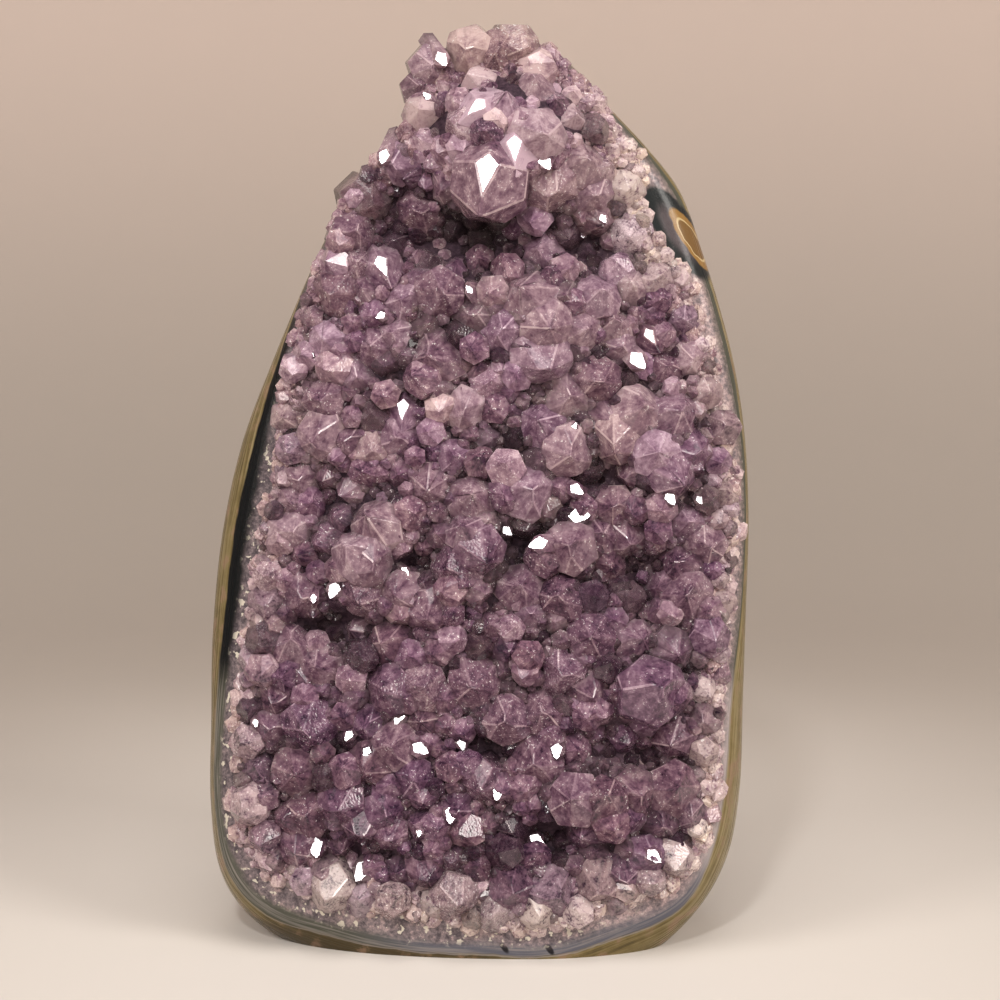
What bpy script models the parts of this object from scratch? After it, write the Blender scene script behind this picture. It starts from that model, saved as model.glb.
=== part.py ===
"""Amethyst cluster with a polished rim, sawn flat below so that it stands.

The front is a field of amethyst crystals in a crust of quartz. The crust sits on a rind of agate and
basalt, which is ground and polished round its edge and left rough behind. The origin is on the sawn
base, +Z is up and the crystals face -Y. All readings below are in millimetres.
"""

import math
import random

import bmesh
import bpy
from mathutils import Matrix, Vector, noise

MM = 0.001

# Driving sizes
HEIGHT = 210.0
FACE_Y_AT_BASE = -30.0
FACE_Y_AT_TOP = 4.0
BACK_Y_AT_BASE = 36.0
BACK_Y_AT_TOP = 30.0
BACK_SWELL = 4.0
FACE_BOW = 7.0
FACE_BOW_X = 6.0
HALF_WIDTH = 60.0
CRUST_DEPTH = 13.0
SEAT_GAP = 0.6
ROUGHNESS_OF_BACK = 3.0
ROUGHNESS_SCALE = 0.033

# The middle that the rings of both bodies close on
MIDDLE = Vector((0.0, 95.0))

# Readings are places on the leaning face plane, seen from this point, so a thing in front of
# or behind the plane is moved along its line of sight.
EYE = Vector((4.5, -542.0, 167.0))

# The stone's outline, clockwise from the top: across, up, width of the rind's polished band and
# of the quartz band inside it, and how far back the rim rolls
OUTLINE = [
    (4.0, 204.0, 0.2, 2.6, 9.0),
    (13.0, 204.5, 0.2, 2.4, 8.0),
    (22.0, 198.5, 0.4, 2.4, 8.0),
    (30.0, 189.5, 1.0, 2.5, 7.0),
    (38.0, 181.0, 1.5, 3.5, 7.0),
    (45.5, 171.0, 2.0, 7.5, 8.0),
    (50.5, 157.5, 2.0, 6.0, 8.0),
    (54.5, 145.0, 2.0, 4.5, 8.0),
    (58.0, 131.0, 2.0, 4.5, 8.0),
    (60.3, 115.0, 1.5, 3.0, 8.0),
    (61.0, 97.0, 1.5, 3.0, 8.0),
    (60.3, 77.0, 2.0, 3.5, 9.0),
    (59.2, 57.0, 3.5, 4.0, 11.0),
    (58.4, 38.0, 5.0, 4.5, 13.0),
    (55.5, 22.0, 6.5, 4.5, 14.0),
    (48.0, 8.0, 9.0, 4.5, 14.0),
    (33.0, -4.0, 15.5, 5.5, 14.0),
    (18.0, -12.0, 19.5, 5.5, 14.0),
    (0.0, -12.0, 19.5, 6.0, 14.0),
    (-20.0, -6.0, 15.0, 7.0, 16.0),
    (-37.0, 2.0, 11.5, 6.5, 17.0),
    (-50.0, 9.5, 7.5, 6.5, 18.0),
    (-58.0, 19.5, 5.5, 5.5, 17.0),
    (-61.2, 34.0, 4.5, 6.0, 15.0),
    (-61.2, 52.0, 4.0, 6.0, 13.0),
    (-60.2, 72.0, 4.5, 5.5, 11.0),
    (-57.8, 94.0, 4.5, 5.5, 11.0),
    (-53.0, 114.0, 4.0, 4.5, 10.0),
    (-47.0, 132.0, 2.0, 3.0, 9.0),
    (-40.5, 149.0, 0.8, 2.5, 8.0),
    (-34.5, 162.0, 0.5, 2.2, 8.0),
    (-28.0, 174.5, 0.3, 2.2, 8.0),
    (-20.5, 181.5, 0.2, 2.2, 8.0),
    (-15.5, 185.0, 0.2, 2.2, 8.0),
    (-14.5, 193.0, 0.2, 2.4, 9.0),
    (-7.0, 201.5, 0.2, 2.6, 9.0),
]

# Swells and hollows of the crystal bed: across, up, half width, half height, rise
BED_FORMS = [
    (8.0, 186.0, 21.0, 16.0, 11.0),
    (-4.0, 161.0, 16.0, 8.0, -8.0),
    (-21.0, 170.0, 10.0, 11.0, -5.0),
    (23.0, 159.0, 9.0, 4.0, -4.0),
    (12.0, 145.0, 14.0, 12.0, 3.0),
    (44.0, 112.0, 12.0, 12.0, 4.0),
    (28.0, 107.0, 7.0, 4.0, -4.5),
    (36.0, 84.0, 6.0, 7.0, -5.0),
    (9.0, 92.0, 5.0, 7.0, -4.5),
    (-3.0, 92.0, 8.0, 8.0, 3.0),
    (-15.0, 88.0, 6.0, 5.0, -4.0),
    (-34.0, 102.0, 7.0, 5.0, -3.5),
    (-34.0, 73.0, 8.0, 4.0, -4.5),
    (-27.0, 88.0, 8.0, 9.0, 3.5),
    (41.0, 60.0, 8.0, 8.0, 3.5),
    (35.0, 47.0, 9.0, 4.0, -4.0),
    (16.0, 27.0, 12.0, 4.0, -4.0),
    (27.0, 36.0, 12.0, 5.0, 3.0),
    (-30.0, 22.0, 5.0, 4.0, -4.0),
    (-12.0, 15.0, 5.0, 4.0, -4.0),
    (3.0, 47.0, 7.0, 4.0, -3.5),
]
BED_FADE = 9.0

# Large crystals: across, up, and width over the six sides
CROWN_CRYSTALS = [
    (-3.5, 203.5, 9.5), (3.5, 202.5, 7.5), (9.5, 203.5, 7.5), (-11.0, 200.0, 7.0), (-13.5, 195.5, 5.5),
    (-14.0, 190.0, 7.5), (-7.0, 187.5, 10.0), (-0.5, 191.0, 6.5), (6.0, 194.0, 8.5), (12.5, 197.0, 8.0),
    (2.5, 176.5, 13.5), (8.5, 183.0, 7.5), (15.5, 184.0, 10.5), (15.5, 170.0, 11.0), (22.0, 189.0, 8.5),
    (24.5, 179.0, 10.0), (26.0, 170.5, 7.5), (28.0, 163.5, 7.0), (-3.0, 198.0, 7.0), (17.5, 192.0, 7.0),
]
SHOULDER_CRYSTALS = [
    (-20.0, 177.5, 6.0), (-24.0, 168.5, 7.5), (-15.0, 167.0, 8.0), (-28.0, 162.5, 7.0), (-17.5, 174.0, 6.5),
    (-9.0, 171.5, 6.5), (-6.0, 162.0, 6.0), (3.0, 164.0, 6.5), (-19.0, 160.5, 6.5), (-11.0, 157.0, 6.0),
]
UPPER_CRYSTALS = [
    (-34.5, 148.0, 9.0), (-28.0, 155.5, 6.0), (-22.0, 154.5, 7.0), (-27.0, 149.5, 6.5), (-18.0, 147.0, 7.5),
    (-8.0, 148.0, 10.0), (9.0, 150.0, 13.0), (5.0, 140.5, 9.5), (16.0, 140.5, 10.5), (16.0, 131.5, 12.5),
    (19.5, 148.0, 6.0), (27.5, 149.5, 9.5), (34.5, 151.0, 7.5), (24.5, 140.5, 7.5), (32.0, 142.0, 6.5),
    (32.5, 136.5, 7.0), (28.0, 128.5, 8.0), (38.5, 139.0, 5.5), (42.5, 132.0, 7.0), (48.5, 133.5, 7.0),
    (47.0, 142.0, 6.5), (13.0, 158.5, 7.0), (20.5, 125.5, 8.5), (-36.0, 138.0, 8.0), (-25.0, 136.5, 7.0),
    (-12.0, 134.5, 9.0), (-20.0, 139.5, 6.5), (-28.0, 129.5, 7.5), (-10.0, 127.5, 8.0), (-36.5, 124.0, 8.0),
]
MIDDLE_CRYSTALS = [
    (13.0, 120.0, 10.0), (30.0, 119.5, 7.0), (37.5, 123.5, 9.0), (46.0, 122.0, 9.0), (52.5, 126.0, 6.5),
    (-18.0, 123.0, 6.5), (-4.0, 121.0, 7.0), (-38.5, 114.5, 8.0), (-31.0, 115.0, 6.5), (-6.0, 112.0, 6.0),
    (-24.5, 113.0, 7.0), (20.5, 112.0, 10.5), (30.5, 112.5, 8.5), (40.5, 112.5, 9.5), (50.5, 113.0, 9.5),
    (12.0, 104.5, 11.0), (46.5, 105.0, 9.5), (-12.0, 104.0, 8.0), (-2.0, 103.5, 8.5), (-41.5, 106.0, 7.0),
    (-42.5, 94.5, 7.5), (-26.0, 98.5, 10.5), (-30.5, 91.5, 10.0), (-24.0, 88.0, 10.0), (-4.5, 96.5, 9.5),
    (-7.5, 87.0, 9.0), (1.5, 88.0, 10.0), (20.0, 92.0, 10.5), (34.0, 92.0, 7.5), (47.5, 97.0, 7.0),
    (52.5, 91.0, 7.5), (44.0, 88.0, 7.5), (47.0, 80.5, 8.5), (17.5, 81.0, 9.5), (12.0, 77.0, 6.5),
]
LOWER_CRYSTALS = [
    (25.0, 71.5, 10.0), (53.5, 70.0, 10.0), (41.5, 60.0, 13.0), (37.0, 71.0, 7.0), (45.0, 67.0, 7.5),
    (18.5, 63.0, 8.5), (25.5, 58.0, 7.5), (-2.0, 60.5, 8.5), (-12.5, 60.5, 9.5), (-22.0, 59.0, 10.5),
    (-22.5, 70.0, 9.5), (-28.0, 79.5, 8.5), (-40.5, 79.5, 8.5), (-19.5, 81.0, 7.5), (-12.0, 75.5, 7.5),
    (-37.5, 64.5, 7.0), (-45.5, 61.5, 7.0), (-43.0, 70.5, 7.0), (-38.5, 48.5, 9.0), (-20.0, 47.0, 8.5),
    (-15.0, 39.5, 9.5), (-26.0, 41.0, 7.5), (-42.0, 40.0, 8.5), (-32.0, 32.5, 9.5), (-39.5, 31.0, 7.5),
    (-21.0, 31.5, 8.0), (-42.0, 22.5, 7.5), (-36.0, 17.5, 7.5), (5.5, 53.0, 8.0), (14.0, 55.0, 7.5),
    (12.0, 43.5, 9.0), (20.5, 35.5, 10.5), (29.0, 36.5, 9.5), (36.5, 36.0, 8.0), (45.0, 38.0, 9.0),
    (33.5, 47.5, 7.0), (43.0, 47.0, 7.5), (7.5, 28.0, 7.0), (22.5, 27.0, 7.5), (41.5, 29.0, 8.0),
]
RIM_CRYSTALS = [
    (-35.0, 12.5, 7.5), (-27.5, 13.0, 7.0), (-12.0, 17.5, 7.0), (-4.0, 12.5, 8.0), (2.5, 9.5, 6.5),
    (7.5, 15.0, 8.0), (13.0, 8.5, 6.5), (18.0, 14.0, 9.0), (26.5, 14.5, 9.0), (33.0, 17.0, 7.0),
    (40.5, 21.5, 8.0), (48.0, 30.0, 7.0), (51.0, 44.0, 6.0), (50.5, 52.0, 7.0), (56.0, 79.0, 6.5),
    (57.0, 103.0, 6.0), (56.0, 118.5, 7.0), (-51.0, 41.5, 7.0), (-49.5, 77.5, 6.5), (-48.0, 50.0, 7.0),
    (34.0, 172.0, 7.0), (34.0, 161.0, 8.0), (41.0, 152.5, 7.0), (-45.0, 30.0, 7.0), (-45.0, 120.0, 6.5),
]

# Crystals that fill in between the large ones
FILL_SEED = 7
FILL_TRIES = 5000
FILL_MOST = 25
FILL_ACROSS = (6.0, 8.0)
FILL_CLOSENESS = 0.40
EDGE_CLEARANCE = 1.5

# A quartz point: a six-sided prism under six faces at 51.8 degrees to the base
POINT_SLOPE = math.tan(math.radians(51.8))
TIP_HEIGHT = (0.70, 1.05)
SPREAD = 0.75
SPREAD_RAMP = 9.0
ROOT_DEPTH = 1.2
ROOT_SHARE = 0.32
OFF_CENTRE = 0.35
MOST_TILT = math.radians(22.0)
NORMAL_SHARE = 0.65

# Ring layout
AROUND = 64
CRUST_FRONT_RINGS = (0.22, 0.42, 0.60, 0.76, 0.89, 1.0)
CRUST_BACK_RINGS = (0.95, 0.50)
RIND_SEAT_RINGS = (0.50, 0.95)
RIM_RINGS = (0.35, 0.70, 1.0)
BACK_RINGS = ((0.995, 0.20), (0.975, 0.42), (0.93, 0.62), (0.84, 0.79), (0.68, 0.91), (0.46, 0.975), (0.23, 1.0))

AMETHYST = ((0.20, 0.09, 0.22, 1.0), 0.18)
BASALT = ((0.13, 0.12, 0.07, 1.0), 0.30)


def face_y(x, z):
    """Depth of the face plane, which leans back and bows back to the sides."""
    plane = FACE_Y_AT_BASE + (FACE_Y_AT_TOP - FACE_Y_AT_BASE) * z / HEIGHT
    return plane + FACE_BOW * ((x - FACE_BOW_X) / HALF_WIDTH) ** 2


def back_y(z):
    """Depth of the stone's back at its middle line."""
    share = max(0.0, min(1.0, z / HEIGHT))
    straight = BACK_Y_AT_BASE + (BACK_Y_AT_TOP - BACK_Y_AT_BASE) * share
    return straight + BACK_SWELL * math.sin(math.pi * share)


def to_rim(x, z):
    """How far a place on the bed is from the bed's edge."""
    return min(math.dist((x, z), edge) for edge in BED_EDGE)


def bed_rise(x, z):
    """How far the crystal bed stands in front of the face plane. It fades out towards the rim."""
    rise = 0.0
    for across, up, half_width, half_height, height in BED_FORMS:
        away = ((x - across) / half_width) ** 2 + ((z - up) / half_height) ** 2
        rise += height * math.exp(-away)
    return rise * min(1.0, to_rim(x, z) / BED_FADE)


def bed_y(x, z):
    """Depth of the bed that the crystals grow on."""
    return face_y(x, z) - bed_rise(x, z)


def bed_normal(x, z, step=1.0):
    """Unit vector out of the bed, towards the front."""
    slope_x = (bed_y(x + step, z) - bed_y(x - step, z)) / (2 * step)
    slope_z = (bed_y(x, z + step) - bed_y(x, z - step)) / (2 * step)
    return Vector((slope_x, -1.0, slope_z)).normalized()


def on_sight_line(x, z, y):
    """The place at depth y that is seen where the face plane's (x, z) is."""
    read = Vector((x, face_y(x, z), z))
    share = (y - EYE.y) / (read.y - EYE.y)
    seen = EYE + (read - EYE) * share
    return seen.x, seen.z


def smooth_loop(points, count):
    """The closed curve through the points, at equal steps along it."""
    fine = []
    for i in range(len(points)):
        a, b, c, d = (Vector(points[(i + k - 1) % len(points)]) for k in range(4))
        for step in range(12):
            t = step / 12
            fine.append(
                0.5 * (2 * b + (c - a) * t + (2 * a - 5 * b + 4 * c - d) * t**2 + (3 * b - a - 3 * c + d) * t**3)
            )
    lengths = [0.0]
    for i, point in enumerate(fine):
        following = fine[(i + 1) % len(fine)]
        lengths.append(lengths[-1] + math.dist(point[:2], following[:2]))
    loop = []
    place = 0
    for i in range(count):
        target = lengths[-1] * i / count
        while lengths[place + 1] < target:
            place += 1
        share = (target - lengths[place]) / (lengths[place + 1] - lengths[place])
        loop.append(fine[place].lerp(fine[(place + 1) % len(fine)], share))
    return loop


def rim_stations():
    """For each step round the outline: bed's edge, widest point, roll, and where quartz meets rind."""
    stations = []
    for x, z, rind, quartz, roll in smooth_loop(OUTLINE, AROUND):
        widest = Vector(on_sight_line(x, z, face_y(x, z) + roll))
        edge = widest - (widest - MIDDLE).normalized() * (rind + quartz)
        split = math.asin(quartz / (rind + quartz)) / (math.pi / 2)
        stations.append((edge, widest, roll, split))
    return stations


STATIONS = rim_stations()
BED_EDGE = [(station[0].x, station[0].y) for station in STATIONS]


def rim_point(station, share):
    """A point on the polished rim, from 0 at the bed's edge to 1 at the widest place."""
    edge, widest, roll, _ = station
    turn = share * math.pi / 2
    flat = edge.lerp(widest, math.sin(turn))
    return Vector((flat.x, face_y(*edge) + roll * (1 - math.cos(turn)), flat.y))


def front_point(station, share):
    """A point of the bed, from 0 at the middle to 1 at its edge."""
    flat = MIDDLE.lerp(station[0], share)
    return Vector((flat.x, bed_y(*flat), flat.y))


def seat_point(station, share, gap):
    """A point where the crust sits on the rind."""
    flat = MIDDLE.lerp(station[0], share)
    return Vector((flat.x, face_y(*flat) + CRUST_DEPTH + gap, flat.y))


def back_point(station, share, depth):
    """A point of the rough back: share of the way out, and of the way from the rim to the back."""
    edge, widest, roll, _ = station
    flat = MIDDLE.lerp(widest, share)
    start = face_y(*edge) + roll
    y = start + (back_y(flat.y) - start) * depth
    rough = noise.noise(Vector((flat.x, y, flat.y)) * ROUGHNESS_SCALE) * ROUGHNESS_OF_BACK
    outward = Vector((flat.x - MIDDLE.x, 0.0, flat.y - MIDDLE.y)).normalized() * (1 - depth)
    outward.y = depth
    return Vector((flat.x, y, flat.y)) + outward * rough * min(1.0, 3 * depth)


def closed_body(name, rings, pole_front, pole_back):
    """A closed body made from a sphere, whose rings are moved to the given places."""
    mesh = bpy.data.meshes.new(name)
    shape = bmesh.new()
    bmesh.ops.create_uvsphere(shape, u_segments=AROUND, v_segments=len(rings) + 1, radius=1.0)
    for vert in shape.verts:
        ring = round(math.acos(max(-1.0, min(1.0, vert.co.z))) / math.pi * (len(rings) + 1))
        step = round(math.atan2(vert.co.y, vert.co.x) / math.tau * AROUND) % AROUND
        if ring == 0:
            place = pole_front
        elif ring == len(rings) + 1:
            place = pole_back
        else:
            place = rings[ring - 1][step]
        vert.co = place * MM
    if shape.calc_volume(signed=True) < 0:
        bmesh.ops.reverse_faces(shape, faces=shape.faces)
    shape.to_mesh(mesh)
    shape.free()
    body = bpy.data.objects.new(name, mesh)
    return body


def crust_body():
    """The quartz crust without its crystals."""
    rings = [[front_point(s, share) for s in STATIONS] for share in CRUST_FRONT_RINGS]
    rings.append([rim_point(s, s[3]) for s in STATIONS])
    rings += [[seat_point(s, share, 0.0) for s in STATIONS] for share in CRUST_BACK_RINGS]
    front = Vector((MIDDLE.x, bed_y(*MIDDLE), MIDDLE.y))
    back = Vector((MIDDLE.x, face_y(*MIDDLE) + CRUST_DEPTH, MIDDLE.y))
    return closed_body("amethyst_crust", rings, front, back)


def rind_body():
    """The rind of agate and basalt behind and round the crust."""
    split = [rim_point(s, s[3]) for s in STATIONS]
    outward = [(s[1] - s[0]).normalized() * SEAT_GAP for s in STATIONS]
    lip = [p + Vector((o.x, SEAT_GAP, o.y)) for p, o in zip(split, outward)]
    rings = [[seat_point(s, share, SEAT_GAP) for s in STATIONS] for share in RIND_SEAT_RINGS]
    rings.append(lip)
    rings += [[rim_point(s, s[3] + (1 - s[3]) * share) for s in STATIONS] for share in RIM_RINGS]
    rings += [[back_point(s, share, depth) for s in STATIONS] for share, depth in BACK_RINGS]
    seat = Vector((MIDDLE.x, face_y(*MIDDLE) + CRUST_DEPTH + SEAT_GAP, MIDDLE.y))
    back = Vector((MIDDLE.x, back_y(MIDDLE.y), MIDDLE.y))
    return closed_body("polished_rind", rings, seat, back)


def inside_bed(x, z, clearance):
    """Whether a place is on the bed, that far in from its edge."""
    inside = False
    for (ax, az), (bx, bz) in zip(BED_EDGE, BED_EDGE[1:] + BED_EDGE[:1]):
        if (az > z) != (bz > z) and x < (bx - ax) * (z - az) / (bz - az) + ax:
            inside = not inside
    return inside and to_rim(x, z) > clearance


def fill_crystals(large, chance):
    """Readings for the crystals between the large ones, at random but clear of each other's middles."""
    placed = list(large)
    for _ in range(FILL_TRIES):
        if len(placed) - len(large) >= FILL_MOST:
            break
        x = chance.uniform(-HALF_WIDTH, HALF_WIDTH)
        z = chance.uniform(0.0, HEIGHT)
        across = chance.uniform(*FILL_ACROSS)
        if not inside_bed(x, z, EDGE_CLEARANCE + across / 2):
            continue
        if all(math.dist((x, z), p[:2]) > FILL_CLOSENESS * (across + p[2]) for p in placed):
            placed.append((x, z, across))
    return placed[len(large) :]


def quartz_point(radius, length, chance):
    """A crystal along +Z with its tip at the origin, as a closed mesh. The tip is off centre."""
    shape = bmesh.new()
    bmesh.ops.create_cone(shape, segments=6, radius1=radius, radius2=radius, depth=length, cap_ends=True)
    top = max(shape.faces, key=lambda face: face.calc_center_median().z)
    rise = radius * math.cos(math.pi / 6) * POINT_SLOPE
    tip = bmesh.ops.poke(shape, faces=[top])["verts"][0]
    turn = chance.uniform(0.0, math.tau)
    aside = radius * chance.uniform(0.0, OFF_CENTRE)
    tip.co += Vector((aside * math.cos(turn), aside * math.sin(turn), rise))
    bmesh.ops.translate(shape, verts=shape.verts, vec=-tip.co)
    return shape


def crystal_at(x, z, across, chance):
    """The crystal read at a place, standing in the bed. Neighbours run into each other below their tips."""
    radius = across / 2 * (1 + SPREAD * min(1.0, to_rim(x, z) / SPREAD_RAMP))
    height = across * chance.uniform(*TIP_HEIGHT)
    rise = radius * math.cos(math.pi / 6) * POINT_SLOPE
    prism = max(0.5, height + ROOT_DEPTH + across * ROOT_SHARE - rise)
    upright = bed_normal(x, z).lerp(Vector((0.0, -1.0, 0.0)), 1 - NORMAL_SHARE).normalized()
    side = upright.orthogonal().normalized()
    side.rotate(Matrix.Rotation(chance.uniform(0.0, math.tau), 3, upright))
    tilt = chance.uniform(0.0, MOST_TILT)
    axis = upright * math.cos(tilt) + side * math.sin(tilt)
    tip_y = bed_y(x, z) - height
    tip_x, tip_z = on_sight_line(x, z, tip_y)
    turn = Matrix.Rotation(chance.uniform(0.0, math.tau), 4, "Z")
    aim = axis.to_track_quat("Z", "Y").to_matrix().to_4x4()
    crystal = quartz_point(radius, prism, chance)
    bmesh.ops.transform(crystal, matrix=Matrix.Translation((tip_x, tip_y, tip_z)) @ aim @ turn, verts=crystal.verts)
    return crystal


def crystal_field(readings, chance):
    """All the crystals in one mesh, still overlapping."""
    mesh = bpy.data.meshes.new("crystal_field")
    field = bmesh.new()
    for x, z, across in readings:
        single = crystal_at(x, z, across, chance)
        bmesh.ops.scale(single, vec=(MM, MM, MM), verts=single.verts)
        single.to_mesh(mesh)
        single.free()
        field.from_mesh(mesh)
    field.to_mesh(mesh)
    field.free()
    return bpy.data.objects.new("crystal_field", mesh)


def floor_cutter():
    """A block whose top is the plane of the sawn base."""
    depth = 0.05
    bpy.ops.mesh.primitive_cube_add(size=1.0, location=(0.0, 0.0, -depth / 2))
    cutter = bpy.context.object
    cutter.name = "base_cutter"
    cutter.scale = (0.4, 0.4, depth)
    return cutter


def boolean(body, other, operation, use_self=False):
    """Adds a Boolean with the exact solver."""
    step = body.modifiers.new(other.name, "BOOLEAN")
    step.operation = operation
    step.solver = "EXACT"
    step.use_self = use_self
    step.object = other


def finish_of(name, colour, roughness):
    """A plain material with a colour and a roughness."""
    material = bpy.data.materials.new(name)
    material.use_nodes = True
    shader = material.node_tree.nodes["Principled BSDF"]
    shader.inputs["Base Color"].default_value = colour
    shader.inputs["Roughness"].default_value = roughness
    shader.inputs["Metallic"].default_value = 0.0
    return material


def helper(item, collection):
    """Keeps a cutter or other helper out of renders."""
    for owner in list(item.users_collection):
        owner.objects.unlink(item)
    collection.objects.link(item)
    item.hide_render = True
    item.display_type = "WIRE"


def main():
    for item in list(bpy.data.objects):
        bpy.data.objects.remove(item)
    cluster = bpy.data.collections.new("amethyst_cluster")
    helpers = bpy.data.collections.new("helpers")
    for collection in (cluster, helpers):
        bpy.context.scene.collection.children.link(collection)

    chance = random.Random(FILL_SEED)
    large = CROWN_CRYSTALS + SHOULDER_CRYSTALS + UPPER_CRYSTALS + MIDDLE_CRYSTALS + LOWER_CRYSTALS + RIM_CRYSTALS
    readings = large + fill_crystals(large, chance)

    field = crystal_field(readings, chance)
    cutter = floor_cutter()
    helper(field, helpers)
    helper(cutter, helpers)

    rind = rind_body()
    boolean(rind, cutter, "DIFFERENCE")
    crust = crust_body()
    boolean(crust, field, "UNION", use_self=True)
    for body, (colour, roughness) in ((crust, AMETHYST), (rind, BASALT)):
        cluster.objects.link(body)
        body.data.materials.append(finish_of(body.name, colour, roughness))


main()
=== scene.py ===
"""Amethyst cluster with a polished rim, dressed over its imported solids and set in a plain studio.

The stone's form is worked out in millimetres from the same readings as its solids: an outline, a face
that leans back, and the swells and hollows of the crystal bed. Four pieces stand for the two solids:
the rind, the quartz bed, the field of crystals on it, and the fine crystals along the rim.
"""

import logging
import math
import random
from dataclasses import dataclass, field
from enum import Enum

import bmesh
import bpy
import numpy as np
from mathutils import Matrix, Vector, noise


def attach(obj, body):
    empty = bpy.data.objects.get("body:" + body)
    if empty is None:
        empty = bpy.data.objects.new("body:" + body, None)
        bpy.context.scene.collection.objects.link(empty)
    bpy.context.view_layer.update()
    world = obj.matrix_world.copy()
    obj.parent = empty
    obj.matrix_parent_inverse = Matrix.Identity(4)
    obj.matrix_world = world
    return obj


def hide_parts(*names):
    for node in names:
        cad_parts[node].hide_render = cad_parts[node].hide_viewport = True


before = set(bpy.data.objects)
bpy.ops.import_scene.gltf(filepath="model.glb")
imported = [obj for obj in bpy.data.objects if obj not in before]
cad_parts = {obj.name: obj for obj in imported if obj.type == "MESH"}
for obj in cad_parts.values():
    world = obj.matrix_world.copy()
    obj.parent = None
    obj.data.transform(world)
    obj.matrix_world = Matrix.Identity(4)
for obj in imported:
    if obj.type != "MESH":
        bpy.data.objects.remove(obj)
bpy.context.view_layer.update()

LOG = logging.getLogger("amethyst_cluster")
MM = 0.001
# Slope of a quartz point's faces, and the angle from which an edge of the rind or the bed is sharp
POINT_SLOPE = math.radians(51.8)
SHARP = math.radians(50.0)

Colour = tuple[float, float, float]
Place = tuple[float, float, float]

# Outline, clockwise from the top: across, up, width of the rind's polished band, width of the quartz
# band inside it, how far back the rim rolls, and the width of the dark agate next to the quartz
OUTLINE = (
    (4.0, 204.0, 0.2, 2.6, 9.0, 0.2), (13.0, 204.5, 0.2, 2.4, 8.0, 0.3), (22.0, 198.5, 0.4, 2.4, 8.0, 0.6),
    (30.0, 189.5, 1.0, 2.5, 7.0, 1.0), (38.0, 181.0, 1.5, 3.5, 7.0, 1.4), (45.5, 171.0, 2.0, 7.5, 8.0, 1.6),
    (50.5, 157.5, 2.0, 6.0, 8.0, 1.6), (54.5, 145.0, 2.0, 4.5, 8.0, 1.8), (58.0, 131.0, 2.0, 4.5, 8.0, 1.8),
    (60.3, 115.0, 1.5, 3.0, 8.0, 1.2), (61.0, 97.0, 1.5, 3.0, 8.0, 0.8), (60.3, 77.0, 2.0, 3.5, 9.0, 0.5),
    (59.5, 56.8, 4.6, 3.3, 11.0, 0.4), (58.7, 37.7, 6.6, 3.3, 13.0, 0.4), (55.5, 22.0, 7.8, 3.2, 14.0, 0.9),
    (47.3, 9.3, 8.0, 4.0, 14.0, 2.0), (32.7, -3.1, 14.0, 6.0, 14.0, 1.8), (18.0, -12.0, 19.0, 6.0, 14.0, 1.0),
    (0.0, -12.0, 19.0, 6.5, 14.0, 1.0), (-20.0, -6.0, 14.5, 7.5, 16.0, 1.2), (-37.4, 0.9, 11.3, 7.9, 17.0, 2.0),
    (-50.8, 8.2, 8.6, 6.9, 18.0, 3.0), (-58.7, 18.6, 6.7, 5.5, 17.0, 3.0), (-61.2, 34.0, 4.5, 6.0, 15.0, 2.6),
    (-61.2, 52.0, 4.0, 6.0, 13.0, 2.4), (-60.9, 72.0, 5.5, 5.2, 11.0, 2.5), (-58.7, 94.0, 5.6, 5.3, 11.0, 2.7),
    (-54.2, 114.4, 5.0, 4.8, 10.0, 2.4), (-47.5, 132.4, 2.7, 3.0, 9.0, 1.6), (-40.5, 149.0, 0.8, 2.5, 8.0, 0.8),
    (-34.5, 162.0, 0.5, 2.2, 8.0, 0.6), (-28.0, 174.5, 0.3, 2.2, 8.0, 0.5), (-20.5, 181.5, 0.2, 2.2, 8.0, 0.4),
    (-15.5, 185.0, 0.2, 2.2, 8.0, 0.2), (-14.5, 193.0, 0.2, 2.4, 9.0, 0.2), (-7.0, 201.5, 0.2, 2.6, 9.0, 0.2),
)

# Swells and hollows of the crystal bed: across, up, half width, half height, rise
BED_FORMS = (
    (8.0, 186.0, 21.0, 16.0, 11.0), (-4.0, 161.0, 16.0, 8.0, -8.0), (-21.0, 170.0, 10.0, 11.0, -5.0),
    (23.0, 159.0, 9.0, 4.0, -4.0), (12.0, 145.0, 14.0, 12.0, 3.0), (44.0, 112.0, 12.0, 12.0, 4.0),
    (28.0, 107.0, 7.0, 4.0, -4.5), (36.0, 84.0, 6.0, 7.0, -5.0), (9.0, 92.0, 5.0, 7.0, -4.5),
    (-3.0, 92.0, 8.0, 8.0, 3.0), (-15.0, 88.0, 6.0, 5.0, -4.0), (-34.0, 102.0, 7.0, 5.0, -3.5),
    (-34.0, 73.0, 8.0, 4.0, -4.5), (-27.0, 88.0, 8.0, 9.0, 3.5), (41.0, 60.0, 8.0, 8.0, 3.5),
    (35.0, 47.0, 9.0, 4.0, -4.0), (16.0, 27.0, 12.0, 4.0, -4.0), (27.0, 36.0, 12.0, 5.0, 3.0),
    (-30.0, 22.0, 5.0, 4.0, -4.0), (-12.0, 15.0, 5.0, 4.0, -4.0), (3.0, 47.0, 7.0, 4.0, -3.5),
)

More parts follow.
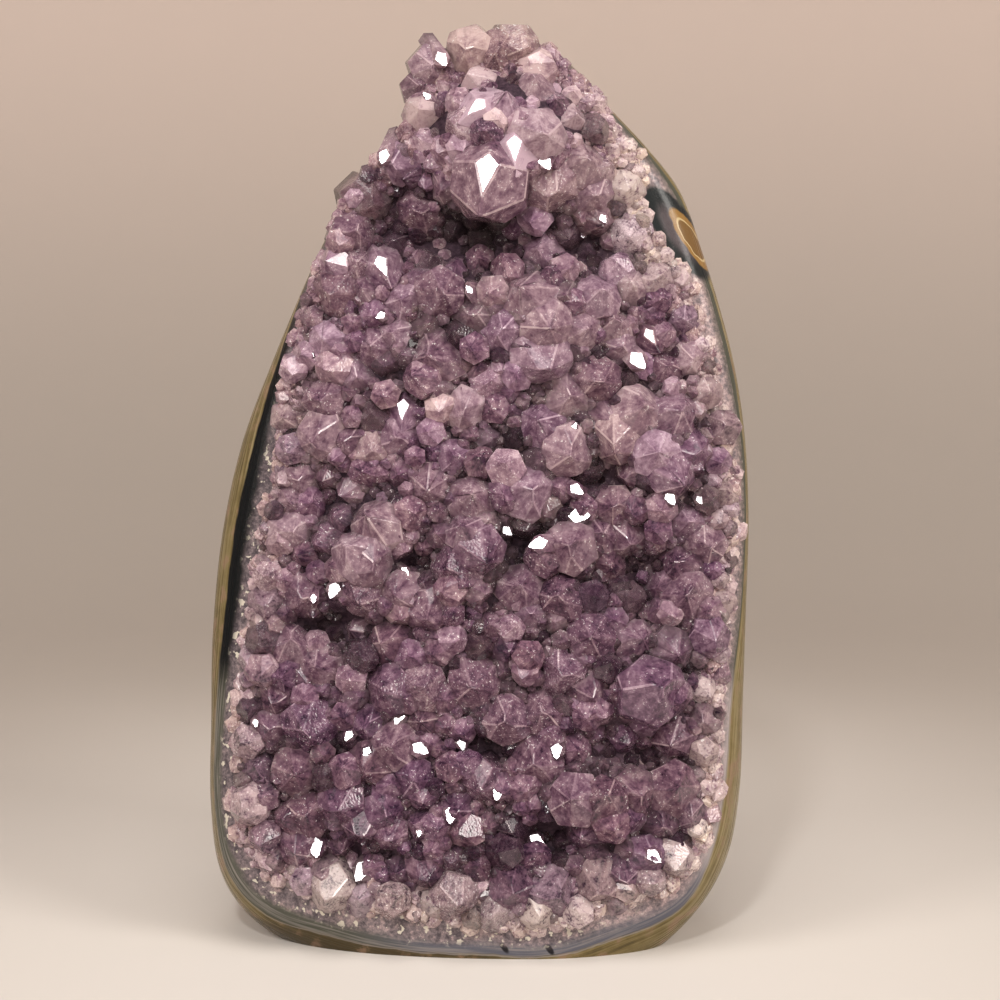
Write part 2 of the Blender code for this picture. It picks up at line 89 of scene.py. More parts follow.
# Large crystals, from the crown down to the rim: across, up, and width over the six sides
LARGE_CRYSTALS = (
    (-3.5, 203.5, 9.5), (3.5, 202.5, 7.5), (9.5, 203.5, 7.5), (-11.0, 200.0, 7.0), (-13.5, 195.5, 5.5),
    (-14.0, 190.0, 7.5), (-7.0, 187.5, 10.0), (-0.5, 191.0, 6.5), (6.0, 194.0, 8.5), (12.5, 197.0, 8.0),
    (2.5, 176.5, 13.5), (8.5, 183.0, 7.5), (15.5, 184.0, 10.5), (15.5, 170.0, 11.0), (22.0, 189.0, 8.5),
    (24.5, 179.0, 10.0), (26.0, 170.5, 7.5), (28.0, 163.5, 7.0), (-3.0, 198.0, 7.0), (17.5, 192.0, 7.0),
    (-20.0, 177.5, 6.0), (-24.0, 168.5, 7.5), (-15.0, 167.0, 8.0), (-28.0, 162.5, 7.0), (-17.5, 174.0, 6.5),
    (-9.0, 171.5, 6.5), (-6.0, 162.0, 6.0), (3.0, 164.0, 6.5), (-19.0, 160.5, 6.5), (-11.0, 157.0, 6.0),
    (-34.5, 148.0, 9.0), (-28.0, 155.5, 6.0), (-22.0, 154.5, 7.0), (-27.0, 149.5, 6.5), (-18.0, 147.0, 7.5),
    (-8.0, 148.0, 10.0), (9.0, 150.0, 13.0), (5.0, 140.5, 9.5), (16.0, 140.5, 10.5), (16.0, 131.5, 12.5),
    (19.5, 148.0, 6.0), (27.5, 149.5, 9.5), (34.5, 151.0, 7.5), (24.5, 140.5, 7.5), (32.0, 142.0, 6.5),
    (32.5, 136.5, 7.0), (28.0, 128.5, 8.0), (38.5, 139.0, 5.5), (42.5, 132.0, 7.0), (48.5, 133.5, 7.0),
    (47.0, 142.0, 6.5), (13.0, 158.5, 7.0), (20.5, 125.5, 8.5), (-36.0, 138.0, 8.0), (-25.0, 136.5, 7.0),
    (-12.0, 134.5, 9.0), (-20.0, 139.5, 6.5), (-28.0, 129.5, 7.5), (-10.0, 127.5, 8.0), (-36.5, 124.0, 8.0),
    (13.0, 120.0, 10.0), (30.0, 119.5, 7.0), (37.5, 123.5, 9.0), (46.0, 122.0, 9.0), (52.5, 126.0, 6.5),
    (-18.0, 123.0, 6.5), (-4.0, 121.0, 7.0), (-38.5, 114.5, 8.0), (-31.0, 115.0, 6.5), (-6.0, 112.0, 6.0),
    (-24.5, 113.0, 7.0), (20.5, 112.0, 10.5), (30.5, 112.5, 8.5), (40.5, 112.5, 9.5), (50.5, 113.0, 9.5),
    (12.0, 104.5, 11.0), (46.5, 105.0, 9.5), (-12.0, 104.0, 8.0), (-2.0, 103.5, 8.5), (-41.5, 106.0, 7.0),
    (-42.5, 94.5, 7.5), (-26.0, 98.5, 10.5), (-30.5, 91.5, 10.0), (-24.0, 88.0, 10.0), (-4.5, 96.5, 9.5),
    (-7.5, 87.0, 9.0), (1.5, 88.0, 10.0), (20.0, 92.0, 10.5), (34.0, 92.0, 7.5), (47.5, 97.0, 7.0),
    (52.5, 91.0, 7.5), (44.0, 88.0, 7.5), (47.0, 80.5, 8.5), (17.5, 81.0, 9.5), (12.0, 77.0, 6.5),
    (25.0, 71.5, 10.0), (53.5, 70.0, 10.0), (41.5, 60.0, 13.0), (37.0, 71.0, 7.0), (45.0, 67.0, 7.5),
    (18.5, 63.0, 8.5), (25.5, 58.0, 7.5), (-2.0, 60.5, 8.5), (-12.5, 60.5, 9.5), (-22.0, 59.0, 10.5),
    (-22.5, 70.0, 9.5), (-28.0, 79.5, 8.5), (-40.5, 79.5, 8.5), (-19.5, 81.0, 7.5), (-12.0, 75.5, 7.5),
    (-37.5, 64.5, 7.0), (-45.5, 61.5, 7.0), (-43.0, 70.5, 7.0), (-38.5, 48.5, 9.0), (-20.0, 47.0, 8.5),
    (-15.0, 39.5, 9.5), (-26.0, 41.0, 7.5), (-42.0, 40.0, 8.5), (-32.0, 32.5, 9.5), (-39.5, 31.0, 7.5),
    (-21.0, 31.5, 8.0), (-42.0, 22.5, 7.5), (-36.0, 17.5, 7.5), (5.5, 53.0, 8.0), (14.0, 55.0, 7.5),
    (12.0, 43.5, 9.0), (20.5, 35.5, 10.5), (29.0, 36.5, 9.5), (36.5, 36.0, 8.0), (45.0, 38.0, 9.0),
    (33.5, 47.5, 7.0), (43.0, 47.0, 7.5), (7.5, 28.0, 7.0), (22.5, 27.0, 7.5), (41.5, 29.0, 8.0),
    (-35.0, 12.5, 7.5), (-27.5, 13.0, 7.0), (-12.0, 17.5, 7.0), (-4.0, 12.5, 8.0), (2.5, 9.5, 6.5),
    (7.5, 15.0, 8.0), (13.0, 8.5, 6.5), (18.0, 14.0, 9.0), (26.5, 14.5, 9.0), (33.0, 17.0, 7.0),
    (40.5, 21.5, 8.0), (48.0, 30.0, 7.0), (51.0, 44.0, 6.0), (50.5, 52.0, 7.0), (56.0, 79.0, 6.5),
    (57.0, 103.0, 6.0), (56.0, 118.5, 7.0), (-51.0, 41.5, 7.0), (-49.5, 77.5, 6.5), (-48.0, 50.0, 7.0),
    (34.0, 172.0, 7.0), (34.0, 161.0, 8.0), (41.0, 152.5, 7.0), (-45.0, 30.0, 7.0), (-45.0, 120.0, 6.5),
)

# Faces that catch the lamp: across, up, and how wide the bright face is
BRIGHT_FACES = (
    (1.5, 176.5, 6.0), (7.8, 181.7, 4.8), (14.7, 178.2, 3.8), (-0.5, 190.7, 4.2), (-8.6, 201.0, 2.8),
    (-12.2, 193.0, 1.8), (28.0, 165.0, 1.8), (-22.0, 179.0, 2.6), (-22.5, 155.0, 5.2), (-22.8, 143.3, 2.0),
    (-2.6, 149.4, 1.8), (-17.5, 122.8, 4.2), (-38.5, 134.0, 1.3), (11.9, 143.0, 1.7), (38.4, 139.0, 3.6),
    (36.0, 133.0, 3.6), (21.4, 118.7, 1.5), (22.0, 104.3, 2.6), (43.3, 102.0, 2.6), (49.9, 101.6, 1.7),
    (22.7, 98.6, 3.6), (6.3, 95.1, 2.2), (12.8, 92.4, 3.2), (-16.8, 86.0, 1.9), (-33.3, 81.4, 3.0),
    (-37.8, 79.5, 1.7), (41.3, 60.9, 2.4), (31.7, 62.3, 1.4), (-18.4, 53.6, 2.8), (-13.2, 46.7, 3.0),
    (-4.0, 47.8, 2.4), (-29.8, 49.2, 2.2), (-25.7, 45.6, 2.2), (17.2, 46.2, 2.8), (4.0, 37.1, 2.8),
    (-6.5, 32.1, 3.2), (-13.7, 28.0, 1.4), (13.0, 26.6, 2.8), (-37.2, 24.0, 3.6), (-26.7, 19.2, 4.0),
    (39.4, 22.5, 3.0), (-51.1, 51.2, 1.6),
)


# The lamp that the bright faces mirror, in millimetres
LAMP_AT = (-180.0, -900.0, 900.0)


@dataclass(frozen=True)
class Station:
    """A step round the rim, in millimetres.

    Args:
        edge: Where the crystal bed ends, across and up.
        widest: Where the outline is widest, across and up.
        roll: How far back the rim rolls.
        split: Share of the roll at which quartz meets rind.
        agate: Width of the dark agate band.
    """

    edge: Vector
    widest: Vector
    roll: float
    split: float
    agate: float


@dataclass
class StoneForm:
    """The stone's form as functions of place, in millimetres.

    Args:
        height: Height of the stone.
        face_y: Depth of the face plane at the base and at the top.
        back_y: Depth of the back at the base and at the top.
        back_swell: Extra depth of the back half way up.
        face_bow: How far the face bows back at its sides.
        face_bow_x: Where across the bow is deepest in front.
        half_width: Half the stone's width.
        crust_depth: Depth of the quartz crust behind the face plane.
        bed_fade: Width over which the bed's relief fades out at the rim.
        middle: The middle that all rings close on, across and up.
        eye: The point that the readings are seen from.
        coarse_steps: Steps round the outline that the crystals are placed by.
        bed_edge: The bed's edge at those steps, across and up.
    """

    height: float = 210.0
    face_y: tuple[float, float] = (-30.0, 4.0)
    back_y: tuple[float, float] = (36.0, 30.0)
    back_swell: float = 4.0
    face_bow: float = 7.0
    face_bow_x: float = 6.0
    half_width: float = 60.0
    crust_depth: float = 13.0
    bed_fade: float = 9.0
    middle: tuple[float, float] = (0.0, 95.0)
    eye: tuple[float, float, float] = (4.5, -542.0, 167.0)
    coarse_steps: int = 64
    bed_edge: list[tuple[float, float]] = field(default_factory=list)

    def __post_init__(self) -> None:
        """Reads the bed's edge once, for every later question about the rim."""
        self.bed_edge = [(s.edge.x, s.edge.y) for s in self.stations(self.coarse_steps)]

    def face(self, x: float, z: float) -> float:
        """Depth of the face plane, which leans back and bows back to the sides.

        Args:
            x: Across.
            z: Up.

        Returns:
            The depth.
        """
        low, high = self.face_y
        bow = self.face_bow * ((x - self.face_bow_x) / self.half_width) ** 2
        return low + (high - low) * z / self.height + bow

    def back(self, z: float) -> float:
        """Depth of the stone's back at its middle line.

        Args:
            z: Up.

        Returns:
            The depth.
        """
        share = max(0.0, min(1.0, z / self.height))
        low, high = self.back_y
        return low + (high - low) * share + self.back_swell * math.sin(math.pi * share)

    def to_rim(self, x: float, z: float) -> float:
        """How far a place is from the bed's edge."""
        return min(math.dist((x, z), edge) for edge in self.bed_edge)

    def rise(self, x: float, z: float) -> float:
        """How far the bed stands in front of the face plane. It fades out towards the rim.

        Args:
            x: Across.
            z: Up.

        Returns:
            The rise, which is less than 0 in a hollow.
        """
        rise = 0.0
        for across, up, half_width, half_height, height in BED_FORMS:
            rise += height * math.exp(-(((x - across) / half_width) ** 2) - ((z - up) / half_height) ** 2)
        return rise * min(1.0, self.to_rim(x, z) / self.bed_fade)

    def bed(self, x: float, z: float) -> float:
        """Depth of the bed that the crystals grow on."""
        return self.face(x, z) - self.rise(x, z)

    def bed_normal(self, x: float, z: float, step: float = 1.0) -> Vector:
        """Unit vector out of the bed, towards the front.

        Args:
            x: Across.
            z: Up.
            step: How far to each side the slope is read.

        Returns:
            The vector.
        """
        slope_x = (self.bed(x + step, z) - self.bed(x - step, z)) / (2 * step)
        slope_z = (self.bed(x, z + step) - self.bed(x, z - step)) / (2 * step)
        return Vector((slope_x, -1.0, slope_z)).normalized()

    def on_sight_line(self, x: float, z: float, y: float) -> tuple[float, float]:
        """The place at another depth that is seen where a place on the face plane is.

        Args:
            x: Across, on the face plane.
            z: Up, on the face plane.
            y: The other depth.

        Returns:
            The place there, across and up.
        """
        eye = Vector(self.eye)
        read = Vector((x, self.face(x, z), z))
        seen = eye + (read - eye) * ((y - eye.y) / (read.y - eye.y))
        return seen.x, seen.z

    def inside_bed(self, x: float, z: float, clearance: float) -> bool:
        """Whether a place is on the bed, and far enough in from its edge.

        Args:
            x: Across.
            z: Up.
            clearance: How far in it has to be.

        Returns:
            True if it is.
        """
        inside = False
        for (ax, az), (bx, bz) in zip(self.bed_edge, self.bed_edge[1:] + self.bed_edge[:1]):
            if (az > z) != (bz > z) and x < (bx - ax) * (z - az) / (bz - az) + ax:
                inside = not inside
        return inside and self.to_rim(x, z) > clearance

    def stations(self, count: int) -> list[Station]:
        """Equal steps round the outline.

        Args:
            count: How many steps.

        Returns:
            One station for each step, clockwise from the top.
        """
        stations = []
        middle = Vector(self.middle)
        for x, z, rind, quartz, roll, agate in smooth_loop(OUTLINE, count):
            widest = Vector(self.on_sight_line(x, z, self.face(x, z) + roll))
            edge = widest - (widest - middle).normalized() * (rind + quartz)
            split = math.asin(quartz / (rind + quartz)) / (math.pi / 2)
            stations.append(Station(edge, widest, roll, split, agate))
        return stations

    def rim(self, station: Station, share: float) -> Vector:
        """A point on the polished rim.

        Args:
            station: The step round the rim.
            share: From 0 at the bed's edge to 1 at the widest place.

        Returns:
            The point.
        """
        turn = share * math.pi / 2
        flat = station.edge.lerp(station.widest, math.sin(turn))
        return Vector((flat.x, self.face(*station.edge) + station.roll * (1 - math.cos(turn)), flat.y))


def smooth_loop(rows: tuple[tuple[float, ...], ...], count: int) -> list[Vector]:
    """The closed curve through rows of readings, at equal steps along it.

    Args:
        rows: Readings whose first two numbers are a place.
        count: How many steps.

    Returns:
        A vector of readings for each step.
    """
    fine = []
    for i in range(len(rows)):
        a, b, c, d = (Vector(rows[(i + k - 1) % len(rows)]) for k in range(4))
        for step in range(12):
            t = step / 12
            curve = 2 * b + (c - a) * t + (2 * a - 5 * b + 4 * c - d) * t**2 + (3 * b - a - 3 * c + d) * t**3
            fine.append(0.5 * curve)
    lengths = [0.0]
    for i, point in enumerate(fine):
        lengths.append(lengths[-1] + math.dist(point[:2], fine[(i + 1) % len(fine)][:2]))
    loop = []
    place = 0
    for i in range(count):
        target = lengths[-1] * i / count
        while lengths[place + 1] < target:
            place += 1
        share = (target - lengths[place]) / (lengths[place + 1] - lengths[place])
        loop.append(fine[place].lerp(fine[(place + 1) % len(fine)], share))
    return loop


def smooth_step(value: float, low: float, high: float) -> float:
    """0 below low, 1 above high, and a smooth turn between them."""
    t = max(0.0, min(1.0, (value - low) / (high - low)))
    return t * t * (3 - 2 * t)


class Shade:
    """A number in a shader, so that sums on it can be written as Python."""

    def __init__(self, paint: "Paint", socket: bpy.types.NodeSocket) -> None:
        """Keeps the socket and the paint that it belongs to."""
        self.paint = paint
        self.socket = socket

    def __add__(self, other: "Shade | float") -> "Shade":
        """Sum."""
        return self.paint.math("ADD", self, other)

    __radd__ = __add__

    def __sub__(self, other: "Shade | float") -> "Shade":
        """Difference."""
        return self.paint.math("SUBTRACT", self, other)

    def __rsub__(self, other: float) -> "Shade":
        """Difference from a number."""
        return self.paint.math("SUBTRACT", other, self)

    def __mul__(self, other: "Shade | float") -> "Shade":
        """Product."""
        return self.paint.math("MULTIPLY", self, other)

    __rmul__ = __mul__

    def __truediv__(self, other: "Shade | float") -> "Shade":
        """Quotient."""
        return self.paint.math("DIVIDE", self, other)

    def __pow__(self, other: float) -> "Shade":
        """Power."""
        return self.paint.math("POWER", self, other)


class Paint:
    """The node tree of one finish."""

    def __init__(self, name: str) -> None:
        """Starts a material with its output and one shader.

        Args:
            name: The material's name.
        """
        self.material = bpy.data.materials.new(name)
        self.material.use_nodes = True
        self.tree = self.material.node_tree
        self.shader = self.tree.nodes["Principled BSDF"]
        self._place: bpy.types.NodeSocket | None = None

    def node(self, kind: str, settings: dict | None = None, inputs: dict | None = None) -> bpy.types.Node:
        """Adds one node.

        Args:
            kind: The node's type.
            settings: Its settings; stops gives a colour ramp's places and colours.
            inputs: Values or links of its sockets, by name or number.

        Returns:
            The node.
        """
        node = self.tree.nodes.new(kind)
        for key, value in (settings or {}).items():
            if key == "stops":
                ramp = node.color_ramp
                while len(ramp.elements) < len(value):
                    ramp.elements.new(0.5)
                for element, (place, colour) in zip(ramp.elements, value):
                    element.position = place
                    element.color = (*colour, 1.0)
            else:
                setattr(node, key, value)
        for key, value in (inputs or {}).items():
            self.put(node.inputs[key], value)
        return node

    def put(self, socket: bpy.types.NodeSocket, value: object) -> None:
        """Links a shade or a socket to a socket, or sets its number or colour.

        Args:
            socket: The socket to fill.
            value: What goes into it.
        """
        if isinstance(value, Shade):
            self.tree.links.new(value.socket, socket)
        elif isinstance(value, bpy.types.NodeSocket):
            self.tree.links.new(value, socket)
        elif isinstance(value, tuple) and len(value) == 3 and socket.type == "RGBA":
            socket.default_value = (*value, 1.0)
        else:
            socket.default_value = value

    def math(self, operation: str, *values: "Shade | float") -> Shade:
        """A sum on numbers."""
        node = self.node("ShaderNodeMath", {"operation": operation}, dict(enumerate(values)))
        return Shade(self, node.outputs[0])

    def least(self, a: "Shade | float", b: "Shade | float") -> Shade:
        """The smaller of two numbers."""
        return self.math("MINIMUM", a, b)

    def most(self, a: "Shade | float", b: "Shade | float") -> Shade:
        """The larger of two numbers."""
        return self.math("MAXIMUM", a, b)

    def turn(self, value: Shade, low: float, high: float, start: float = 0.0, end: float = 1.0) -> Shade:
        """A smooth turn from start to end as a number goes from low to high."""
        settings, inputs = {"interpolation_type": "SMOOTHSTEP"}, {0: value, 1: low, 2: high, 3: start, 4: end}
        return Shade(self, self.node("ShaderNodeMapRange", settings, inputs).outputs[0])

    def mix(self, share: "Shade | float", a: object, b: object) -> bpy.types.NodeSocket:
        """A colour between two colours."""
        return self.node("ShaderNodeMix", {"data_type": "RGBA"}, {0: share, 6: a, 7: b}).outputs[2]

    def multiply(self, a: object, b: object, share: "Shade | float" = 1.0) -> bpy.types.NodeSocket:
        """A colour darkened by another."""
        settings = {"data_type": "RGBA", "blend_type": "MULTIPLY"}
        return self.node("ShaderNodeMix", settings, {0: share, 6: a, 7: b}).outputs[2]

    def ramp(self, value: Shade, stops: tuple[tuple[float, Colour], ...]) -> bpy.types.NodeSocket:
        """A colour that follows a number."""
        return self.node("ShaderNodeValToRGB", {"stops": stops}, {0: value}).outputs[0]

    def attribute(self, name: str) -> Shade:
        """A number that the mesh carries."""
        node = self.node("ShaderNodeAttribute", {"attribute_name": name})
        return Shade(self, node.outputs["Fac"])

    def vector(self, name: str) -> bpy.types.NodeSocket:
        """A vector that the mesh carries."""
        return self.node("ShaderNodeAttribute", {"attribute_name": name}).outputs["Vector"]

    def place(self) -> bpy.types.NodeSocket:
        """The place on the piece, in millimetres.

        Returns:
            The socket that gives it, which is made once.
        """
        if self._place is None:
            where = self.node("ShaderNodeTexCoord").outputs["Object"]
            scaled = self.node("ShaderNodeVectorMath", {"operation": "SCALE"}, {0: where, "Scale": 1 / MM})
            self._place = scaled.outputs[0]
        return self._place

    def xyz(self) -> tuple[Shade, Shade, Shade]:
        """The place on the piece as three numbers, in millimetres."""
        node = self.node("ShaderNodeSeparateXYZ", {}, {0: self.place()})
        return tuple(Shade(self, node.outputs[i]) for i in range(3))

    def joined(self, *parts: "Shade | float") -> bpy.types.NodeSocket:
        """A place put together from three numbers."""
        return self.node("ShaderNodeCombineXYZ", {}, dict(enumerate(parts))).outputs[0]

    def length(self, *parts: Shade) -> Shade:
        """The length of a step whose parts are given."""
        return self.math("SQRT", sum(part * part for part in parts))

    def clouds(
        self, size: float, detail: float = 3.0, rough: float = 0.55, place: bpy.types.NodeSocket | None = None
    ) -> Shade:
        """Soft noise.

        Args:
            size: About how large its features are, in millimetres.
            detail: How many finer layers it has.
            rough: How strong those are.
            place: Where it is read, if not at the place on the piece.

        Returns:
            The noise, about 0.5 in the middle.
        """
        inputs = {"Vector": place or self.place(), "Scale": 1 / size, "Detail": detail, "Roughness": rough}
        return Shade(self, self.node("ShaderNodeTexNoise", {}, inputs).outputs[0])

    def grains(self, size: float) -> Shade:
        """Distance to the nearest grain, for grains about size millimetres across."""
        node = self.node("ShaderNodeTexVoronoi", {}, {"Vector": self.place(), "Scale": 1 / size})
        return Shade(self, node.outputs["Distance"])

    def relief(self, height: Shade, strength: float, depth: float) -> None:
        """Puts a bump on the shader, whose depth is in millimetres."""
        node = self.node("ShaderNodeBump", {}, {"Strength": strength, "Distance": depth * MM, "Height": height})
        self.put(self.shader.inputs["Normal"], node.outputs[0])

    def set(self, **values: object) -> None:
        """Sets or links the shader's sockets, with underscores for the spaces in their names."""
        for key, value in values.items():
            self.put(self.shader.inputs[key.replace("_", " ")], value)


@dataclass(frozen=True)
class Eye:
    """The dark drop with a brown heart in the polished rim at the upper right, in millimetres.

    Args:
        x: The drop's middle, across.
        z: The drop's middle, up.
        lean: How far the drop leans over.
        heart_x: The heart's middle, across.
        heart_z: The heart's middle, up.
        wobble: How uneven the bands are.
        side: The depth from which the eye closes, on the side of the rim.
    """

    x: float = 45.2
    z: float = 162.0
    half_length: float = 12.6
    half_width: float = 4.4
    lean: float = math.radians(34.0)
    heart_x: float = 48.3
    heart_z: float = 160.4
    heart_length: float = 8.0
    heart_width: float = 2.0
    wobble: float = 1.4
    side: float = 6.0
    black: Colour = (0.016, 0.019, 0.020)
    grey: Colour = (0.085, 0.070, 0.075)
    ochre: Colour = (0.26, 0.145, 0.045)
    yellow: Colour = (0.50, 0.38, 0.20)
    brown: Colour = (0.17, 0.095, 0.035)

    def slanted(self, across: Shade | float, up: Shade | float) -> tuple[Shade | float, Shade | float]:
        """A step across and up, as a step along the drop and one aside from it."""
        cos, sin = math.cos(self.lean), math.sin(self.lean)
        return up * cos - across * sin, across * cos + up * sin

    def distance(self, paint: Paint, x: float, z: float, length: float, width: float) -> Shade:
        """How far out a place is in a slanted drop, which is 1 at its edge.

        Args:
            paint: The finish's nodes.
            x: The drop's middle, across.
            z: The drop's middle, up.
            length: Half its length.
            width: Half its width.

        Returns:
            The distance.
        """
        across, deep, up = paint.xyz()
        along, aside = self.slanted(across - x, up - z)
        aside = aside + (paint.clouds(5.0, 2.0) - 0.5) * self.wobble
        behind = paint.most(deep - self.side, 0.0) / (width * 2.0)
        return paint.length(along / length, aside / width, behind)

    def paint_over(self, paint: Paint, colour: bpy.types.NodeSocket) -> bpy.types.NodeSocket:
        """Lays the eye's bands over a colour.

        Args:
            paint: The finish's nodes.
            colour: The colour beside the eye.

        Returns:
            The colour with the eye.
        """
        drop = self.distance(paint, self.x, self.z, self.half_length, self.half_width)
        heart = self.distance(paint, self.heart_x, self.heart_z, self.heart_length, self.heart_width)
        for distance, inner, outer, band in (
            (drop, 0.92, 1.1, self.black),
            (drop, 0.35, 0.75, self.grey),
            (heart, 1.0, 1.15, self.ochre),
            (heart, 0.72, 0.78, self.yellow),
            (heart, 0.64, 0.69, self.brown),
        ):
            colour = paint.mix(1.0 - paint.turn(distance, inner, outer), colour, band)
        return colour

    def covers(self, x: float, z: float) -> bool:
        """Whether a place lies on the eye or close to it."""
        along, aside = self.slanted(x - self.x, z - self.z)
        return (along / self.half_length) ** 2 + (aside / self.half_width) ** 2 < 1.2


@dataclass(frozen=True)
class AmethystFinish:
    """Purple quartz that light passes into: milky on most crystals, and glassy on the others, with painted
    glints, painted highlights on edges and painted shade in the gaps.
    """

    name: str
    transmission: float
    deep: Colour = (0.040, 0.018, 0.038)
    purple: Colour = (0.165, 0.084, 0.128)
    mauve: Colour = (0.345, 0.222, 0.270)
    pale: Colour = (0.64, 0.48, 0.51)
    white: Colour = (0.73, 0.61, 0.57)
    # The colour of the painted glints
    painted_glint_white: Colour = (0.96, 0.93, 0.92)
    # gap: painted shade, the near-black of the gaps between the crystals
    gap: Colour = (0.056, 0.046, 0.045)
    warm: Colour = (1.02, 1.0, 0.90)
    violet: Colour = (0.92, 0.86, 1.03)
    ior: float = 1.55

    def make(self) -> bpy.types.Material:
        """Builds the material from the numbers that the crystals carry.

        Returns:
            The material.
        """
        paint = Paint(self.name)
        tint = paint.attribute("tint")
        facet = paint.attribute("facet")
        frost = paint.attribute("frost")
        own = paint.vector("own")
        x, y, z = (Shade(paint, socket) for socket in paint.node("ShaderNodeSeparateXYZ", {}, {0: own}).outputs)
        reach = paint.length(x, y) + 0.4
        fan = paint.joined(x / reach * 3.2, y / reach * 3.2, z * 0.3)
        veils = paint.clouds(2.4, 2.0, 0.6, own)
        streaks = paint.clouds(1.0, 2.0, 0.6, fan)
        crumbs = paint.clouds(0.62, 2.0, 0.72)
        threads = paint.turn(paint.math("ABSOLUTE", streaks - 0.52), 0.018, 0.0) * paint.turn(veils, 0.48, 0.62)
        # Painted glints: tiny near-white specks, more of them on frosted crystals
        painted_glints = paint.turn(crumbs, 0.64, 0.69) * paint.turn(veils + frost * 0.16, 0.49, 0.59)
        hue = paint.attribute("hue")
        level = tint * 0.5 + facet * 0.12 + (veils - 0.5) * 0.95 + (streaks - 0.5) * 0.75 + (crumbs - 0.5) * 0.5
        # The edge reading is a painted highlight on some bevelled edges
        level = level + paint.attribute("core") + paint.attribute("edge") + threads * 0.35 + 0.14
        body = paint.ramp(level, ((0.0, self.deep), (0.3, self.purple), (0.62, self.mauve), (1.0, self.pale)))
        body = paint.mix(paint.attribute("paleness") * paint.turn(veils + crumbs, 0.65, 1.1), body, self.white)
        body = paint.multiply(body, self.warm, paint.turn(hue, 0.1, 1.0))
        body = paint.multiply(body, self.violet, paint.turn(hue, -0.1, -1.0))
        # Painted shade: points further back than their tip, and crystals sunk behind those near them, darken
        # towards gap
        depth = paint.attribute("depth") + (crumbs - 0.5) * 6.0
        body = paint.mix(paint.turn(depth, 2.0, 7.0) * 0.68, body, self.gap)
        body = paint.mix(painted_glints * 0.9, body, self.painted_glint_white)
        paint.set(
            Base_Color=body,
            Roughness=paint.turn(crumbs, 0.35, 0.7, 0.07, 0.2) + frost * 0.15,
            Transmission_Weight=self.transmission,
            IOR=self.ior,
        )
        paint.relief(paint.clouds(0.5, 0.0) * (frost + 0.15), 0.45, 0.3)
        return paint.material


@dataclass(frozen=True)
class Agate:
    """The agate next to the quartz, whose bands follow the rim and run on over the seam.

    Args:
        cracks: Short dark cracks in the band at the base, across and up, in millimetres.
    """

    black: Colour = (0.004, 0.005, 0.006)
    green: Colour = (0.070, 0.072, 0.055)
    blue: Colour = (0.105, 0.105, 0.130)
    lilac: Colour = (0.34, 0.30, 0.30)
    light: Colour = (0.30, 0.27, 0.25)
    crack: Colour = (0.010, 0.009, 0.012)
    cracks: tuple[tuple[float, float], ...] = ((5.4, 2.9), (15.6, 2.4))

    def lines(self, paint: Paint, out: Shade) -> Shade:
        """Fine lines that follow the rim."""
        x, _, z = paint.xyz()
        return paint.clouds(1.0, 3.0, 0.62, paint.joined(out * 1.5, x * 0.05, z * 0.05))

    def colour(self, paint: Paint, lines: Shade) -> bpy.types.NodeSocket:
        """The agate's colour: black high up, green-grey at the lower left, blue-grey at the base.

        Args:
            paint: The finish's nodes.
            lines: The fine lines that follow the rim.

        Returns:
            The colour.
        """
        x, _, z = paint.xyz()
        low = paint.mix(paint.turn(x, -34.0, -8.0), self.green, self.blue)
        low = paint.mix(paint.turn(x, 46.0, 52.0) * paint.turn(z, 12.0, 24.0), low, self.lilac)
        low = paint.mix(paint.turn(lines, 0.42, 0.72) * 0.7, low, self.light)
        high = paint.mix(paint.turn(x, -20.0, 10.0), self.black, self.green)
        colour = paint.mix(paint.turn(z, 55.0, 66.0), low, high)
        for across, up in self.cracks:
            near = paint.length((x - across + (z - up) * 0.5) / 0.9, (z - up) / 1.7)
            colour = paint.mix(paint.turn(near, 1.1, 0.6), colour, self.crack)
        return colour


